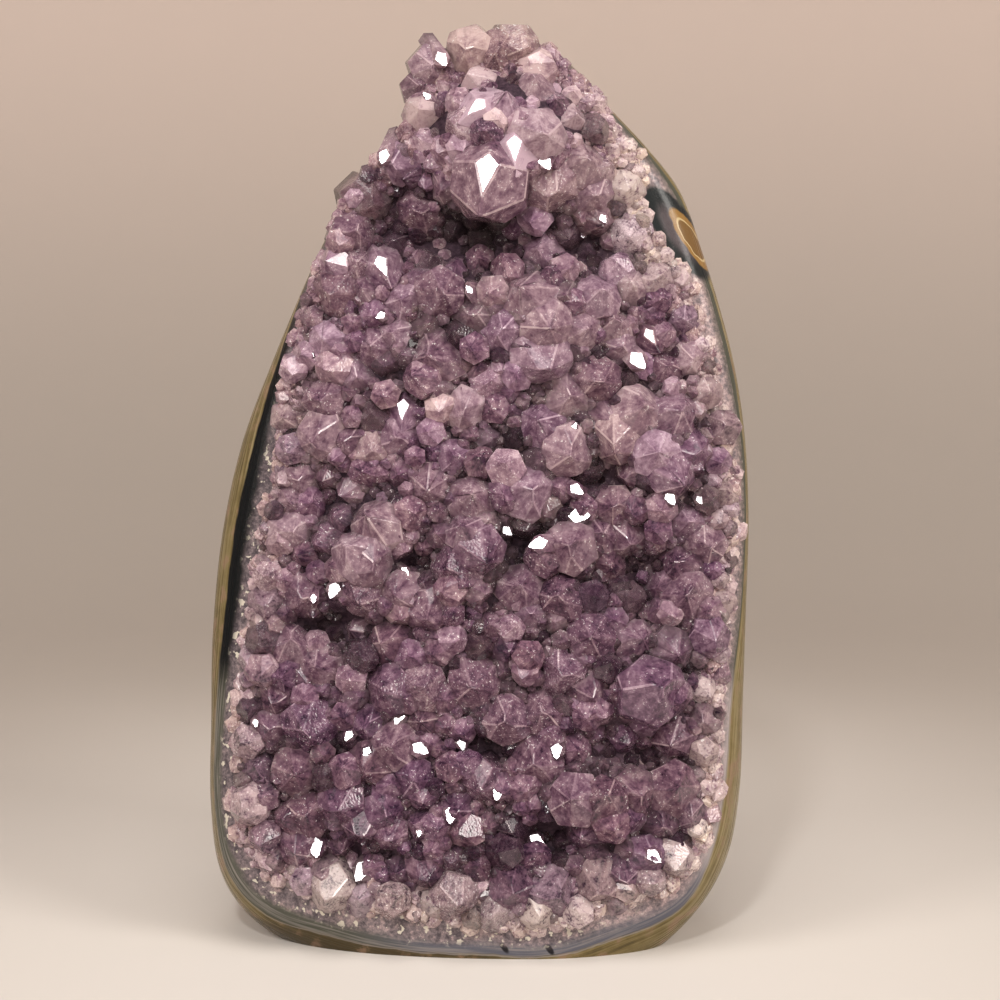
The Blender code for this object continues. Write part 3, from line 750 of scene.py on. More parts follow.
@dataclass(frozen=True)
class QuartzFinish:
    """The bed between the crystals, and the polished quartz band round it."""

    # The first two colours are painted shade, for the bed between the crystals
    deep: Colour = (0.026, 0.014, 0.023)
    painted_gap_shade: Colour = (0.085, 0.050, 0.068)
    shadow: Colour = (0.075, 0.060, 0.070)
    grey: Colour = (0.20, 0.160, 0.170)
    pink: Colour = (0.46, 0.34, 0.34)
    white: Colour = (0.74, 0.65, 0.60)
    cream: Colour = (0.62, 0.57, 0.48)

    def make(self) -> bpy.types.Material:
        """Builds the material: painted near-black shade deep in the bed between the crystals, granular in the
        band, dark again at the agate.

        Returns:
            The material.
        """
        paint = Paint("quartz_bed")
        x, _, z = paint.xyz()
        out = paint.attribute("out")
        rim = paint.attribute("to_rim")
        patches = paint.clouds(6.0, 3.0)
        grain = paint.clouds(1.2, 4.0, 0.72)
        right = paint.turn(x, 12.0, 42.0)
        low = paint.turn(z, 26.0, 8.0)
        level = grain * 1.35 + patches * 0.5 + paint.most(right, low * 0.4) * 0.24 - 0.69
        stops = ((0.12, self.shadow), (0.36, self.grey), (0.60, self.pink), (0.82, self.white))
        stone = paint.ramp(level, stops)
        chips = paint.turn(paint.clouds(1.9, 2.0, 0.6), 0.60, 0.64) * paint.turn(out, -8.5, -6.5)
        stone = paint.mix(chips * (1.0 - right), stone, self.cream)
        agate = Agate()
        meets = paint.turn(out + (patches - 0.5) * 3.0, -2.8, -0.3) * (1.0 - right * 0.3)
        stone = paint.mix(meets, stone, agate.colour(paint, agate.lines(paint, out)))
        # Painted shade: away from the rim, the bed between the crystals turns dark
        dark = paint.ramp(level + 0.2, ((0.3, self.deep), (0.7, self.painted_gap_shade), (0.95, self.pink)))
        colour = paint.mix(paint.turn(rim, 1.0, 6.0), stone, dark)
        colour = Eye().paint_over(paint, colour)
        rough = paint.turn(rim, -1.5, 0.5)
        paint.set(
            Base_Color=colour,
            Roughness=rough * 0.35 + grain * 0.2 + 0.15,
            IOR=1.55,
            Specular_IOR_Level=0.12,
            Coat_Weight=(1.0 - rough) * 0.25,
            Coat_Roughness=0.2,
        )
        paint.relief(grain, 0.35, 0.5)
        return paint.material


@dataclass(frozen=True)
class RindFinish:
    """Agate and basalt, polished round the rim and rough behind."""

    olive: Colour = (0.165, 0.125, 0.052)
    olive_dark: Colour = (0.070, 0.052, 0.026)
    olive_light: Colour = (0.29, 0.235, 0.125)
    brown: Colour = (0.24, 0.150, 0.098)
    basalt: Colour = (0.095, 0.078, 0.060)
    basalt_dark: Colour = (0.028, 0.024, 0.021)
    basalt_light: Colour = (0.20, 0.17, 0.13)

    def make(self) -> bpy.types.Material:
        """Builds the material from the distance out from the quartz.

        Returns:
            The material.
        """
        paint = Paint("rind")
        x, _, z = paint.xyz()
        out = paint.attribute("out")
        agate = paint.attribute("agate")
        rough = paint.attribute("rough")
        wave = (paint.clouds(8.0, 3.0) - 0.5) * 1.5
        place = out + wave * paint.least(agate, 1.0)
        in_agate = 1.0 - paint.turn(place - agate, -0.3, 0.3)
        bands = Agate()
        streaks = bands.lines(paint, out)
        mottle = paint.clouds(5.0, 4.0, 0.6)
        lighter = paint.turn(x, 30.0, 58.0) * 0.12
        darker = paint.turn(z, 9.0, 2.0) * paint.turn(x, 14.0, -10.0) * 0.35
        olive = paint.ramp(
            streaks + mottle * 0.5 + lighter - darker - 0.27,
            ((0.20, self.olive_dark), (0.48, self.olive), (0.78, self.olive_light)),
        )
        olive = paint.mix(paint.turn(mottle, 0.52, 0.66) * 0.7, olive, self.brown)
        line = paint.turn(paint.math("ABSOLUTE", place - agate - 0.25), 0.3, 0.05) * paint.turn(z, 70.0, 50.0)
        olive = paint.mix(line * 0.6, olive, bands.light)
        polished = paint.mix(in_agate, olive, bands.colour(paint, streaks))
        pits = paint.clouds(2.4, 6.0, 0.65)
        holes = paint.turn(paint.grains(3.2) + (pits - 0.5) * 0.5, 0.26, 0.14)
        back = paint.ramp(
            pits * 1.1 + mottle * 0.6 - 0.34 - holes * 0.3,
            ((0.2, self.basalt_dark), (0.5, self.basalt), (0.85, self.basalt_light)),
        )
        colour = Eye().paint_over(paint, paint.mix(rough, polished, back))
        paint.set(
            Base_Color=colour,
            Roughness=rough * 0.45 + streaks * 0.15 + 0.20,
            IOR=1.5,
            Specular_IOR_Level=0.16,
        )
        paint.relief((pits - holes * 0.5) * rough + streaks * 0.05, 1.0, 1.3)
        return paint.material


@dataclass(frozen=True)
class SweepFinish:
    """The pale paper of the studio, with a painted pool of light on the floor round the stone, darker further
    out, and painted light high on the wall.
    """

    # Painted light: floor is the painted pool of light round the stone, far the paper outside it, high the
    # painted light on the wall
    floor: Colour = (0.68, 0.64, 0.60)
    far: Colour = (0.42, 0.375, 0.335)
    high: Colour = (0.68, 0.57, 0.51)
    light_pool_from_mm: float = 30.0
    light_pool_to_mm: float = 360.0
    wall_light_to_mm: float = 330.0

    def make(self) -> bpy.types.Material:
        """Builds the material, with a faint mottle.

        Returns:
            The material.
        """
        paint = Paint("sweep")
        x, y, z = paint.xyz()
        away = paint.length(x, y)
        fibre = paint.clouds(40.0, 3.0)
        # Painted pool of light on the floor, fading out with distance from the stone
        paper = paint.mix(paint.turn(away, self.light_pool_from_mm, self.light_pool_to_mm), self.floor, self.far)
        # Painted light, lighter higher up the wall
        paper = paint.mix(paint.turn(z, 20.0, self.wall_light_to_mm), paper, self.high)
        paint.set(
            Base_Color=paint.multiply(paper, (0.95, 0.95, 0.95), fibre * 0.3),
            Roughness=0.85 + fibre * 0.05,
        )
        return paint.material


def add_object(name: str, data: bpy.types.ID) -> bpy.types.Object:
    """Adds an object to the scene, at the origin.

    Args:
        name: Its name.
        data: Its mesh, light or camera.

    Returns:
        The object.
    """
    thing = bpy.data.objects.new(name, data)
    bpy.context.scene.collection.objects.link(thing)
    return thing


def cut_off(shape: bmesh.types.BMesh, at: Vector, normal: Vector) -> tuple[list, list]:
    """Cuts off what lies beyond a plane, and closes the cut.

    Args:
        shape: The mesh to cut.
        at: A point of the plane.
        normal: Out of what is kept.

    Returns:
        The cut's edges and its new faces.
    """
    geometry = shape.verts[:] + shape.edges[:] + shape.faces[:]
    cut = bmesh.ops.bisect_plane(shape, geom=geometry, plane_co=at, plane_no=normal, clear_outer=True)
    edges = [item for item in cut["geom_cut"] if isinstance(item, bmesh.types.BMEdge)]
    return edges, bmesh.ops.holes_fill(shape, edges=edges)["faces"]


def piece_from(name: str, shape: bmesh.types.BMesh, material: bpy.types.Material) -> bpy.types.Object:
    """Makes an object of a mesh in millimetres, with its place in the mesh.

    Args:
        name: The piece's name.
        shape: The mesh, which is freed.
        material: Its finish.

    Returns:
        The object, at the origin.
    """
    bmesh.ops.scale(shape, vec=(MM, MM, MM), verts=shape.verts)
    mesh = bpy.data.meshes.new(name)
    shape.to_mesh(mesh)
    shape.free()
    mesh.materials.append(material)
    return add_object(name, mesh)


def ringed_body(rings: list[list[Vector]], readings: dict[str, list[list[float]]]) -> bmesh.types.BMesh:
    """A closed body made from a sphere whose rings are moved to given places.

    Args:
        rings: Places of each ring; the first and the last hold one place, the poles.
        readings: For each name, a number for each place of each ring, kept as an attribute.

    Returns:
        The mesh, facing outwards.
    """
    around = len(rings[1])
    shape = bmesh.new()
    bmesh.ops.create_uvsphere(shape, u_segments=around, v_segments=len(rings) - 1, radius=1.0)
    layers = {name: shape.verts.layers.float.new(name) for name in readings}
    for vert in shape.verts:
        ring = round(math.acos(max(-1.0, min(1.0, vert.co.z))) / math.pi * (len(rings) - 1))
        step = round(math.atan2(vert.co.y, vert.co.x) / math.tau * around) % len(rings[ring])
        vert.co = rings[ring][step]
        for name, layer in layers.items():
            vert[layer] = readings[name][ring][step]
    if shape.calc_volume(signed=True) < 0:
        bmesh.ops.reverse_faces(shape, faces=shape.faces)
    for face in shape.faces:
        face.smooth = True
    for edge in shape.edges:
        edge.smooth = edge.calc_face_angle(0.0) < SHARP
    return shape


@dataclass
class PolishedRind:
    """The rind of agate and basalt: polished round the rim, rough behind, sawn flat below.

    Args:
        form: The stone's form.
        steps: Steps round the stone.
        rim_rings: Rings over the polished rim.
        back_rings: Rings from there to the middle of the back.
        gap: The gap to the crust along their seat.
        lump: How high the back's lumps are.
        lump_scale: Lumps to a millimetre.
        pit: How deep its pits are.
        pit_scale: Pits to a millimetre.
        polished_depth: Share of the depth at which the polish ends.
    """

    form: StoneForm
    steps: int = 300
    rim_rings: int = 12
    back_rings: int = 44
    gap: float = 0.05
    lump: float = 2.3
    lump_scale: float = 0.033
    pit: float = 4.5
    pit_scale: float = 0.12
    polished_depth: float = 0.26

    def back_point(self, station: Station, share: float, depth: float) -> Vector:
        """A point of the back.

        Args:
            station: The step round the stone.
            share: Share of the way out from the middle.
            depth: Share of the way from the rim to the back.

        Returns:
            The point.
        """
        form = self.form
        middle = Vector(form.middle)
        flat = middle.lerp(station.widest, share)
        start = form.face(*station.edge) + station.roll
        place = Vector((flat.x, start + (form.back(flat.y) - start) * depth, flat.y))
        lump = noise.noise(place * self.lump_scale) * self.lump * min(1.0, 3 * depth)
        pit = noise.fractal(place * self.pit_scale, 0.8, 2.1, 5) * smooth_step(depth, self.polished_depth, 0.45)
        outward = Vector((flat.x - middle.x, 0.0, flat.y - middle.y)).normalized() * (1 - depth)
        outward.y = depth
        return place + outward * (lump + min(0.0, pit) * self.pit)

    def build(self, material: bpy.types.Material) -> bpy.types.Object:
        """Builds the rind.

        Args:
            material: Its finish.

        Returns:
            The piece that stands for the rind's solid.
        """
        form = self.form
        stations = form.stations(self.steps)
        middle = Vector(form.middle)
        seat_depth = form.crust_depth + self.gap
        seat = Vector((middle.x, form.face(*middle) + seat_depth, middle.y))
        back = Vector((middle.x, form.back(middle.y), middle.y))
        rings: list[list[Vector]] = [[seat]]
        out: list[list[float]] = [[0.0]]
        rough: list[list[float]] = [[0.0]]
        for share in (0.5, 0.95):
            flats = [middle.lerp(s.edge, share) for s in stations]
            rings.append([Vector((f.x, form.face(*f) + seat_depth, f.y)) for f in flats])
            out.append([0.0] * self.steps)
            rough.append([0.0] * self.steps)
        for ring in range(self.rim_rings + 1):
            share = ring / self.rim_rings
            rings.append([form.rim(s, s.split + (1 - s.split) * share) for s in stations])
            distance = [0.0] * self.steps
            if ring:
                distance = [o + (a - b).length for o, a, b in zip(out[-1], rings[-1], rings[-2])]
            out.append(distance)
            rough.append([0.0] * self.steps)
        for ring in range(1, self.back_rings + 1):
            turn = ring / (self.back_rings + 1) * math.pi / 2
            share, depth = math.cos(turn) ** 0.45, math.sin(turn) ** 1.15
            rings.append([self.back_point(s, share, depth) for s in stations])
            out.append([o + (a - b).length for o, a, b in zip(out[-1], rings[-1], rings[-2])])
            rough.append([smooth_step(depth, self.polished_depth, self.polished_depth + 0.12)] * self.steps)
        rings.append([back])
        out.append([out[-1][0]])
        rough.append([1.0])
        agate = [[s.agate for s in stations] if len(ring) > 1 else [1.0] for ring in rings]
        shape = ringed_body(rings, {"out": out, "rough": rough, "agate": agate})
        edges, base = cut_off(shape, Vector((0.0, 0.0, 0.0)), Vector((0.0, 0.0, -1.0)))
        for item in edges + base:
            item.smooth = False
        piece = piece_from("rind_skin", shape, material)
        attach(piece, "root")
        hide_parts("polished_rind")
        return piece


@dataclass
class QuartzBed:
    """The crust that the crystals stand in, with its polished band inside the rind.

    Args:
        form: The stone's form.
        steps: Steps round the stone.
        bed_rings: Rings from the middle to the bed's edge.
        band_rings: Rings over the polished band.
        grain: How high the bed's crumbs are.
    """

    form: StoneForm
    steps: int = 300
    bed_rings: int = 56
    band_rings: int = 6
    grain: float = 0.5

    def build(self, material: bpy.types.Material) -> bpy.types.Object:
        """Builds the bed.

        Args:
            material: Its finish.

        Returns:
            The piece that stands for the crust, under its crystals.
        """
        form = self.form
        stations = form.stations(self.steps)
        middle = Vector(form.middle)
        rings = [[Vector((middle.x, form.bed(*middle), middle.y))]]
        rim = [[form.to_rim(*middle)]]
        for ring in range(1, self.bed_rings + 1):
            places, distances = [], []
            for station in stations:
                flat = middle.lerp(station.edge, ring / self.bed_rings)
                distance = form.to_rim(*flat) if ring < self.bed_rings else 0.0
                crumbs = noise.noise(Vector((flat.x, 0.0, flat.y)) * 0.55) * self.grain * min(1.0, distance / 2)
                places.append(Vector((flat.x, form.bed(*flat) - crumbs, flat.y)))
                distances.append(distance)
            rings.append(places)
            rim.append(distances)
        for ring in range(1, self.band_rings + 1):
            places = [form.rim(s, s.split * ring / self.band_rings) for s in stations]
            rim.append([d - (a - b).length for d, a, b in zip(rim[-1], places, rings[-1])])
            rings.append(places)
        seam = rim[-1]
        for share in (0.95, 0.5):
            flats = [middle.lerp(s.edge, share) for s in stations]
            rings.append([Vector((f.x, form.face(*f) + form.crust_depth, f.y)) for f in flats])
            rim.append(seam)
        rings.append([Vector((middle.x, form.face(*middle) + form.crust_depth, middle.y))])
        rim.append([0.0])
        out = [[s - d for s, d in zip(seam, ring)] if len(ring) > 1 else [-99.0] for ring in rim]
        piece = piece_from("quartz_bed", ringed_body(rings, {"to_rim": rim, "out": out}), material)
        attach(piece, "root")
        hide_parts("amethyst_crust")
        return piece


class Habit(Enum):
    """How a quartz point is cut: how far out each of its six upper faces lies, from 1 at the tip."""

    EVEN = (1.0, 1.005, 0.995, 1.005, 0.995, 1.0)
    THREE_FACES = (1.0, 1.16, 1.0, 1.2, 1.0, 1.14)
    ONE_LARGE = (0.86, 1.1, 1.02, 1.12, 1.05, 1.08)
    CHISEL = (0.94, 1.12, 1.1, 0.96, 1.12, 1.1)
    SLANTED = (0.8, 0.98, 1.14, 1.12, 1.1, 0.96)
    SMALL_FIRST = (1.16, 0.96, 1.02, 1.0, 1.02, 0.96)


@dataclass
class QuartzPoint:
    """A quartz point of radius 1 along +Z, made once and copied many times.

    Args:
        habit: How it is cut.
        bevel: How wide its worn edges are.
    """

    habit: Habit
    bevel: float
    points: np.ndarray = field(init=False)
    faces: list[tuple[int, ...]] = field(init=False)
    on_edge: np.ndarray = field(init=False)
    foot: np.ndarray = field(init=False)
    bright_normal: Vector = field(init=False)
    bright_centre: Vector = field(init=False)

    def __post_init__(self) -> None:
        """Cuts the point from a six-sided prism, with its tip at the origin."""
        shape = bmesh.new()
        bmesh.ops.create_cone(shape, segments=6, radius1=1.0, radius2=1.0, depth=6.0, cap_ends=True)
        flat = math.cos(math.pi / 6)
        normals = []
        for side, offset in enumerate(self.habit.value):
            turn = math.pi / 6 + side * math.pi / 3
            normal = Vector((math.cos(turn), math.sin(turn), 0.0)) * math.sin(POINT_SLOPE)
            normal.z = math.cos(POINT_SLOPE)
            rise = flat * math.tan(POINT_SLOPE) * offset
            cut_off(shape, Vector((0.0, 0.0, rise)), normal)
            normals.append(normal)
        bmesh.ops.remove_doubles(shape, verts=shape.verts, dist=1e-4)
        tip = max(shape.verts, key=lambda vert: vert.co.z).co.copy()
        bmesh.ops.translate(shape, verts=shape.verts, vec=-tip)
        bmesh.ops.recalc_face_normals(shape, faces=shape.faces)
        bright = max(shape.faces, key=lambda face: (face.normal.dot(normals[0]) > 0.999, face.calc_area()))
        self.bright_normal = bright.normal.copy()
        self.bright_centre = bright.calc_center_median()
        bevelled = set()
        if self.bevel > 0:
            top = [edge for edge in shape.edges if max(v.co.z for v in edge.verts) > -2.0]
            cut = bmesh.ops.bevel(
                shape, geom=top, offset=self.bevel, segments=1, profile=0.5, affect="EDGES", material=-1
            )
            bevelled = set(cut["faces"])
        shape.verts.index_update()
        self.points = np.array([vert.co[:] for vert in shape.verts])
        self.foot = self.points[:, 2] < -2.5
        self.faces = [tuple(vert.index for vert in face.verts) for face in shape.faces]
        self.on_edge = np.array([float(face in bevelled) for face in shape.faces])
        shape.free()


# The habits that any crystal may have: all but the last, which is for bright faces
FREE_HABITS = len(Habit) - 1


@dataclass
class Crystal:
    """One crystal's place and look, in millimetres.

    Args:
        tip: Where its tip is.
        axis: The way that it points.
        turn: Its turn about its axis.
        radius: Half its width.
        length: From its tip to its foot.
        tint: How light it is: its own tone, with painted light and shade from where it sits on most crystals.
        paleness: How white it is.
        kind: Which quartz point it is a copy of.
        frost: How frosted it is.
        hue: Its cast, from -1 for violet to 1 for warm.
        finish: Which finish it has.
        height: How far its tip stands out of the bed.
        sunk: How far its tip lies behind those near it.
    """

    tip: Vector
    axis: Vector
    turn: float
    radius: float
    length: float
    tint: float
    paleness: float
    kind: int
    frost: float = 0.0
    hue: float = 0.0
    finish: int = 0
    height: float = 0.0
    sunk: float = 0.0


@dataclass
class CrystalField:
    """The field of crystals: the large ones where they are read, and smaller ones between them.

    Args:
        form: The stone's form.
        lamp: Where the lamp is that the bright faces mirror.
        seed: The seed of the large crystals, as in the solid.
        fill_tries: Tries for the solid's crystals between the read ones.
        fill_most: The most of them.
        fill_across: Their width, least and most.
        fill_closeness: How close they come, as a share of both widths.
        tip_height: How far a large crystal stands out, as a share of its width.
        normal_share: How far a crystal follows the bed's slope.
        most_tilt: The most that a large crystal tilts.
        small_tilt: The most that a small one tilts.
        root: How far a large crystal reaches into the bed.
        small_root: How far a small one does.
        small_seed: The seed of the small crystals.
        small_sizes: For each size of them: least and most width, tries and closeness.
        sugar_across: The widest small crystal where they are fine and pale.
        rim_sizes: Least and most width of those along the rim.
        rim_tries: How many of those are tried.
        button_from: The width from which a large crystal is a button.
        button_spread: A button's radius for each millimetre across.
        large_spread: Any other large crystal's.
        small_spread: A small crystal's.
        upright: Share of the tilt that is kept.
        front: The furthest forward that a tip stands.
        top: The highest that a crystal reaches.
    """

    form: StoneForm
    lamp: Vector
    seed: int = 7
    fill_tries: int = 5000
    fill_most: int = 25
    fill_across: tuple[float, float] = (6.0, 8.0)
    fill_closeness: float = 0.40
    tip_height: tuple[float, float] = (0.70, 1.05)
    normal_share: float = 0.65
    most_tilt: float = math.radians(22.0)
    small_tilt: float = math.radians(32.0)
    root: float = 3.0
    small_root: float = 1.5
    small_seed: int = 31
    small_sizes: tuple[tuple[float, float, int, float], ...] = (
        (5.0, 7.0, 4000, 0.38),
        (3.4, 5.0, 9000, 0.39),
        (2.2, 3.4, 14000, 0.33),
        (1.5, 2.2, 14000, 0.32),
    )
    sugar_across: float = 3.4
    rim_sizes: tuple[float, float] = (1.3, 4.2)
    rim_tries: int = 2800
    button_from: float = 9.4
    button_spread: float = 0.66
    large_spread: float = 0.82
    small_spread: float = 0.70
    upright: float = 0.7
    front: float = -35.7
    top: float = 209.3
    kinds: list[QuartzPoint] = field(default_factory=list)
    crystals: list[Crystal] = field(default_factory=list)

    def readings(self, chance: random.Random) -> list[tuple[float, float, float]]:
        """The large crystals, and those that the solid has between them.

        Args:
            chance: Where the random numbers come from.

        Returns:
            Across, up and width of each.
        """
        placed = list(LARGE_CRYSTALS)
        for _ in range(self.fill_tries):
            if len(placed) - len(LARGE_CRYSTALS) >= self.fill_most:
                break
            x = chance.uniform(-self.form.half_width, self.form.half_width)
            z = chance.uniform(0.0, self.form.height)
            across = chance.uniform(*self.fill_across)
            if not self.form.inside_bed(x, z, 1.5 + across / 2):
                continue
            if all(math.dist((x, z), p[:2]) > self.fill_closeness * (across + p[2]) for p in placed):
                placed.append((x, z, across))
        return placed

    def aim(self, x: float, z: float, chance: random.Random, tilt: float) -> Vector:
        """A direction out of the bed, tilted at random.

        Args:
            x: Across.
            z: Up.
            chance: Where the random numbers come from.
            tilt: The most that it tilts.

        Returns:
            The direction.
        """
        upright = self.form.bed_normal(x, z).lerp(Vector((0.0, -1.0, 0.0)), 1 - self.normal_share).normalized()
        side = upright.orthogonal().normalized()
        side.rotate(Matrix.Rotation(chance.uniform(0.0, math.tau), 3, upright))
        tilt = chance.uniform(0.0, tilt) * self.upright
        return (upright * math.cos(tilt) + side * math.sin(tilt)).normalized()

    def place_large(self) -> None:
        """Places the crystals that the solid has too."""
        chance = random.Random(self.seed)
        looks = random.Random(self.seed + 1)
        for x, z, across in self.readings(chance):
            height = across * chance.uniform(*self.tip_height)
            axis = self.aim(x, z, chance, self.most_tilt)
            y = self.form.bed(x, z) - height
            tip_x, tip_z = self.form.on_sight_line(x, z, y)
            turn = chance.uniform(0.0, math.tau)
            # The solid draws two more numbers for each crystal
            chance.uniform(0.0, math.tau)
            chance.uniform(0.0, 1.0)
            self.crystals.append(
                Crystal(
                    tip=Vector((tip_x, y, tip_z)),
                    axis=axis,
                    turn=turn,
                    radius=across * self.spread(x, z, across),
                    length=height + self.root,
                    height=height,
                    tint=looks.betavariate(2.4, 2.2) * self.painted_light(x, z),
                    paleness=self.paleness(x, z, looks),
                    kind=looks.randrange(FREE_HABITS),
                    frost=looks.betavariate(0.5, 2.0),
                    hue=self.hue(z, looks),
                    finish=int(looks.random() < self.glassiness(x, z) - 0.15),
                )
            )

    def spread(self, x: float, z: float, across: float) -> float:
        """A large crystal's radius for each millimetre across.

        Args:
            x: Across.
            z: Up.
            across: The crystal's width.

        Returns:
            The radius: larger on the crown, where they run into each other, and smaller at the right rim.
        """
        spread = self.button_spread if across > self.button_from else self.large_spread
        crown = smooth_step(z, 165.0, 175.0) * (1 - smooth_step(z, 188.0, 194.0))
        at_rim = (1 - smooth_step(self.form.to_rim(x, z), 2.0, 7.0)) * smooth_step(x, 38.0, 46.0)
        return spread + 0.07 * crown - 0.22 * at_rim

    def painted_light(self, x: float, z: float) -> float:
        """Painted light and shade on the crystals here: lighter on the crown and the swells, which the light
        falls on, and darker low down, in the hollows and on the left shoulder under the crown's lobe.

        Args:
            x: Across.
            z: Up.

        Returns:
            About 1.
        """
        # Painted light: lighter towards the top, most on the crown, and darker low down
        crown = smooth_step(z, 160.0, 182.0)
        upper = smooth_step(z, 85.0, 140.0)
        low = 1 - smooth_step(z, 20.0, 90.0)
        # Painted shadow of the crown's lobe on the left shoulder
        shoulder = smooth_step(z, 138.0, 150.0) * (1 - crown) * (1 - smooth_step(x, -20.0, -8.0))
        # Painted light on the swells and painted shade in the hollows
        rise = 0.045 * max(-0.6, min(2.6, self.form.rise(x, z)))
        return max(0.1, 0.95 + 0.30 * upper + 0.78 * crown - 0.60 * low - 0.2 * shoulder + rise)

    def glassiness(self, x: float, z: float) -> float:
        """How many of the crystals are glassy here: most of them in the hollows."""
        return 0.12 + 0.5 * smooth_step(-self.form.rise(x, z), 0.5, 4.0)

    @staticmethod
    def hue(z: float, looks: random.Random) -> float:
        """The cast of a crystal, from -1 for violet to 1 for warm. The top of the crown is warm."""
        return max(-1.0, min(1.0, looks.uniform(-0.8, 0.6) + 0.9 * smooth_step(z, 197.0, 205.0)))

    def paleness(self, x: float, z: float, looks: random.Random) -> float:
        """How white the crystals are here: pale along the rim, most of all at the upper right.

        Args:
            x: Across.
            z: Up.
            looks: Where the random numbers come from.

        Returns:
            From 0 to 1.
        """
        right = smooth_step(x, 18.0, 30.0)
        width = 5.0 + 3.0 * (1 - right)
        low = 1 - smooth_step(z, 10.0, 24.0)
        near = (1 - smooth_step(self.form.to_rim(x, z), 0.5, width)) * (0.38 + 0.5 * max(right, low))
        near *= 1 - 0.8 * smooth_step(z, 118.0, 140.0) * (1 - right)
        return min(1.0, max(near, 0.95 * self.sugary(x, z)) * looks.uniform(0.5, 1.1))

    @staticmethod
    def sugary(x: float, z: float) -> float:
        """How fine and pale the crystals are here: only those at the upper right are."""
        return smooth_step(x, 27.0, 33.0) * smooth_step(z, 148.0, 156.0)

    def place_small(self) -> None:
        """Fills in between the large crystals, from larger to smaller ones."""
        chance = random.Random(self.small_seed)
        cells: dict[tuple[int, int], list[tuple[float, float, float]]] = {}
        size = 8.0
        for crystal in self.crystals:
            x, z = crystal.tip.x, crystal.tip.z
            cells.setdefault((int(x // size), int(z // size)), []).append((x, z, crystal.radius * 1.35))
        for least, most, tries, closeness in self.small_sizes:
            for _ in range(tries):
                x = chance.uniform(-self.form.half_width, self.form.half_width)
                z = chance.uniform(0.0, self.form.height)
                across = chance.uniform(least, most)
                if not self.form.inside_bed(x, z, across * 0.3) or Eye().covers(x, z):
                    continue
                if across > self.sugar_across and self.sugary(x, z) > 0.5:
                    continue
                column, row = int(x // size), int(z // size)
                cells_near = [(column + i, row + j) for i in (-1, 0, 1) for j in (-1, 0, 1)]
                near = [place for cell in cells_near for place in cells.get(cell, ())]
                if any(math.dist((x, z), place[:2]) < closeness * (across + place[2]) for place in near):
                    continue
                cells.setdefault((column, row), []).append((x, z, across))
                self.add_small(x, z, across, chance)

    def add_small(self, x: float, z: float, across: float, chance: random.Random) -> None:
        """Adds one small crystal to the bed.

        Args:
            x: Across.
            z: Up.
            across: Its width.
            chance: Where the random numbers come from.
        """
        height = across * (chance.uniform(0.5, 0.9) + chance.uniform(0.0, 0.7))
        y = self.form.bed(x, z) - height
        tip_x, tip_z = self.form.on_sight_line(x, z, y)
        self.crystals.append(
            Crystal(
                tip=Vector((tip_x, y, tip_z)),
                axis=self.aim(x, z, chance, self.small_tilt),
                turn=chance.uniform(0.0, math.tau),
                radius=across * self.small_spread,
                length=height + self.small_root,
                height=height,
                tint=chance.betavariate(1.8, 2.6) * self.painted_light(x, z),
                paleness=self.paleness(x, z, chance),
                kind=len(Habit) + chance.randrange(FREE_HABITS),
                frost=chance.betavariate(0.5, 1.5),
                hue=self.hue(z, chance),
                finish=1 if chance.random() < self.glassiness(x, z) else 2,
            )
        )

    def place_rim(self) -> list[Crystal]:
        """Places the fine pale crystals along the inside of the rim.

        Returns:
            The crystals.
        """
        chance = random.Random(self.small_seed + 1)
        crystals = []
        stations = self.form.stations(720)
        for _ in range(self.rim_tries):
            station = stations[chance.randrange(len(stations))]
            across = chance.uniform(*self.rim_sizes)
            left_low = (1 - smooth_step(station.edge.y, 60.0, 130.0)) * (station.edge.x < 40.0)
            width = 3.5 + 3.5 * left_low + 6.0 * self.sugary(*station.edge)
            inward = chance.uniform(-0.8, width)
            direction = (station.edge - Vector(self.form.middle)).normalized()
            flat = station.edge - direction * inward
            if flat.y < 4.0 or Eye().covers(*flat):
                continue
            if inward > 0:
                y = self.form.bed(*flat)
            else:
                band = (station.widest - station.edge).length
                share = min(1.0, -inward / band) * 2 / math.pi
                y = self.form.rim(station, share).y
            height = across * chance.uniform(0.2, 0.75)
            axis = Vector((direction.x * 0.2, -1.0, direction.y * 0.2)) + self.scatter(chance, 0.45)
            crystals.append(
                Crystal(
                    tip=Vector((flat.x, y - height, flat.y)),
                    axis=axis.normalized(),
                    turn=chance.uniform(0.0, math.tau),
                    radius=across * 0.6,
                    length=height + across * 0.8,
                    height=height,
                    tint=chance.uniform(0.3, 0.9),
                    paleness=self.paleness(*flat, chance),
                    kind=len(Habit) + chance.randrange(FREE_HABITS),
                    frost=chance.random(),
                    hue=chance.uniform(-0.3, 1.0),
                    finish=2,
                )
            )
        return crystals

    def sink(self, crystals: list[Crystal], reach: float = 8.0) -> None:
        """Finds how far each crystal's tip lies behind the two highest tips near it, which sets how much
        painted shade it gets.

        Args:
            crystals: The crystals.
            reach: How far away a tip is still near.
        """
        tips = np.array([(c.tip.x, c.tip.z) for c in crystals])
        heights = np.array([c.height for c in crystals])
        for crystal, tip in zip(crystals, tips):
            near = np.sort(heights[np.hypot(*(tips - tip).T) < reach])
            crown = smooth_step(crystal.tip.z, 165.0, 178.0)
            crystal.sunk = (float(near[-2:].mean()) - crystal.height) * (1 - 0.6 * crown)

    @staticmethod
    def scatter(chance: random.Random, amount: float) -> Vector:
        """A random vector of about that length."""
        return Vector([chance.uniform(-amount, amount) for _ in range(3)])

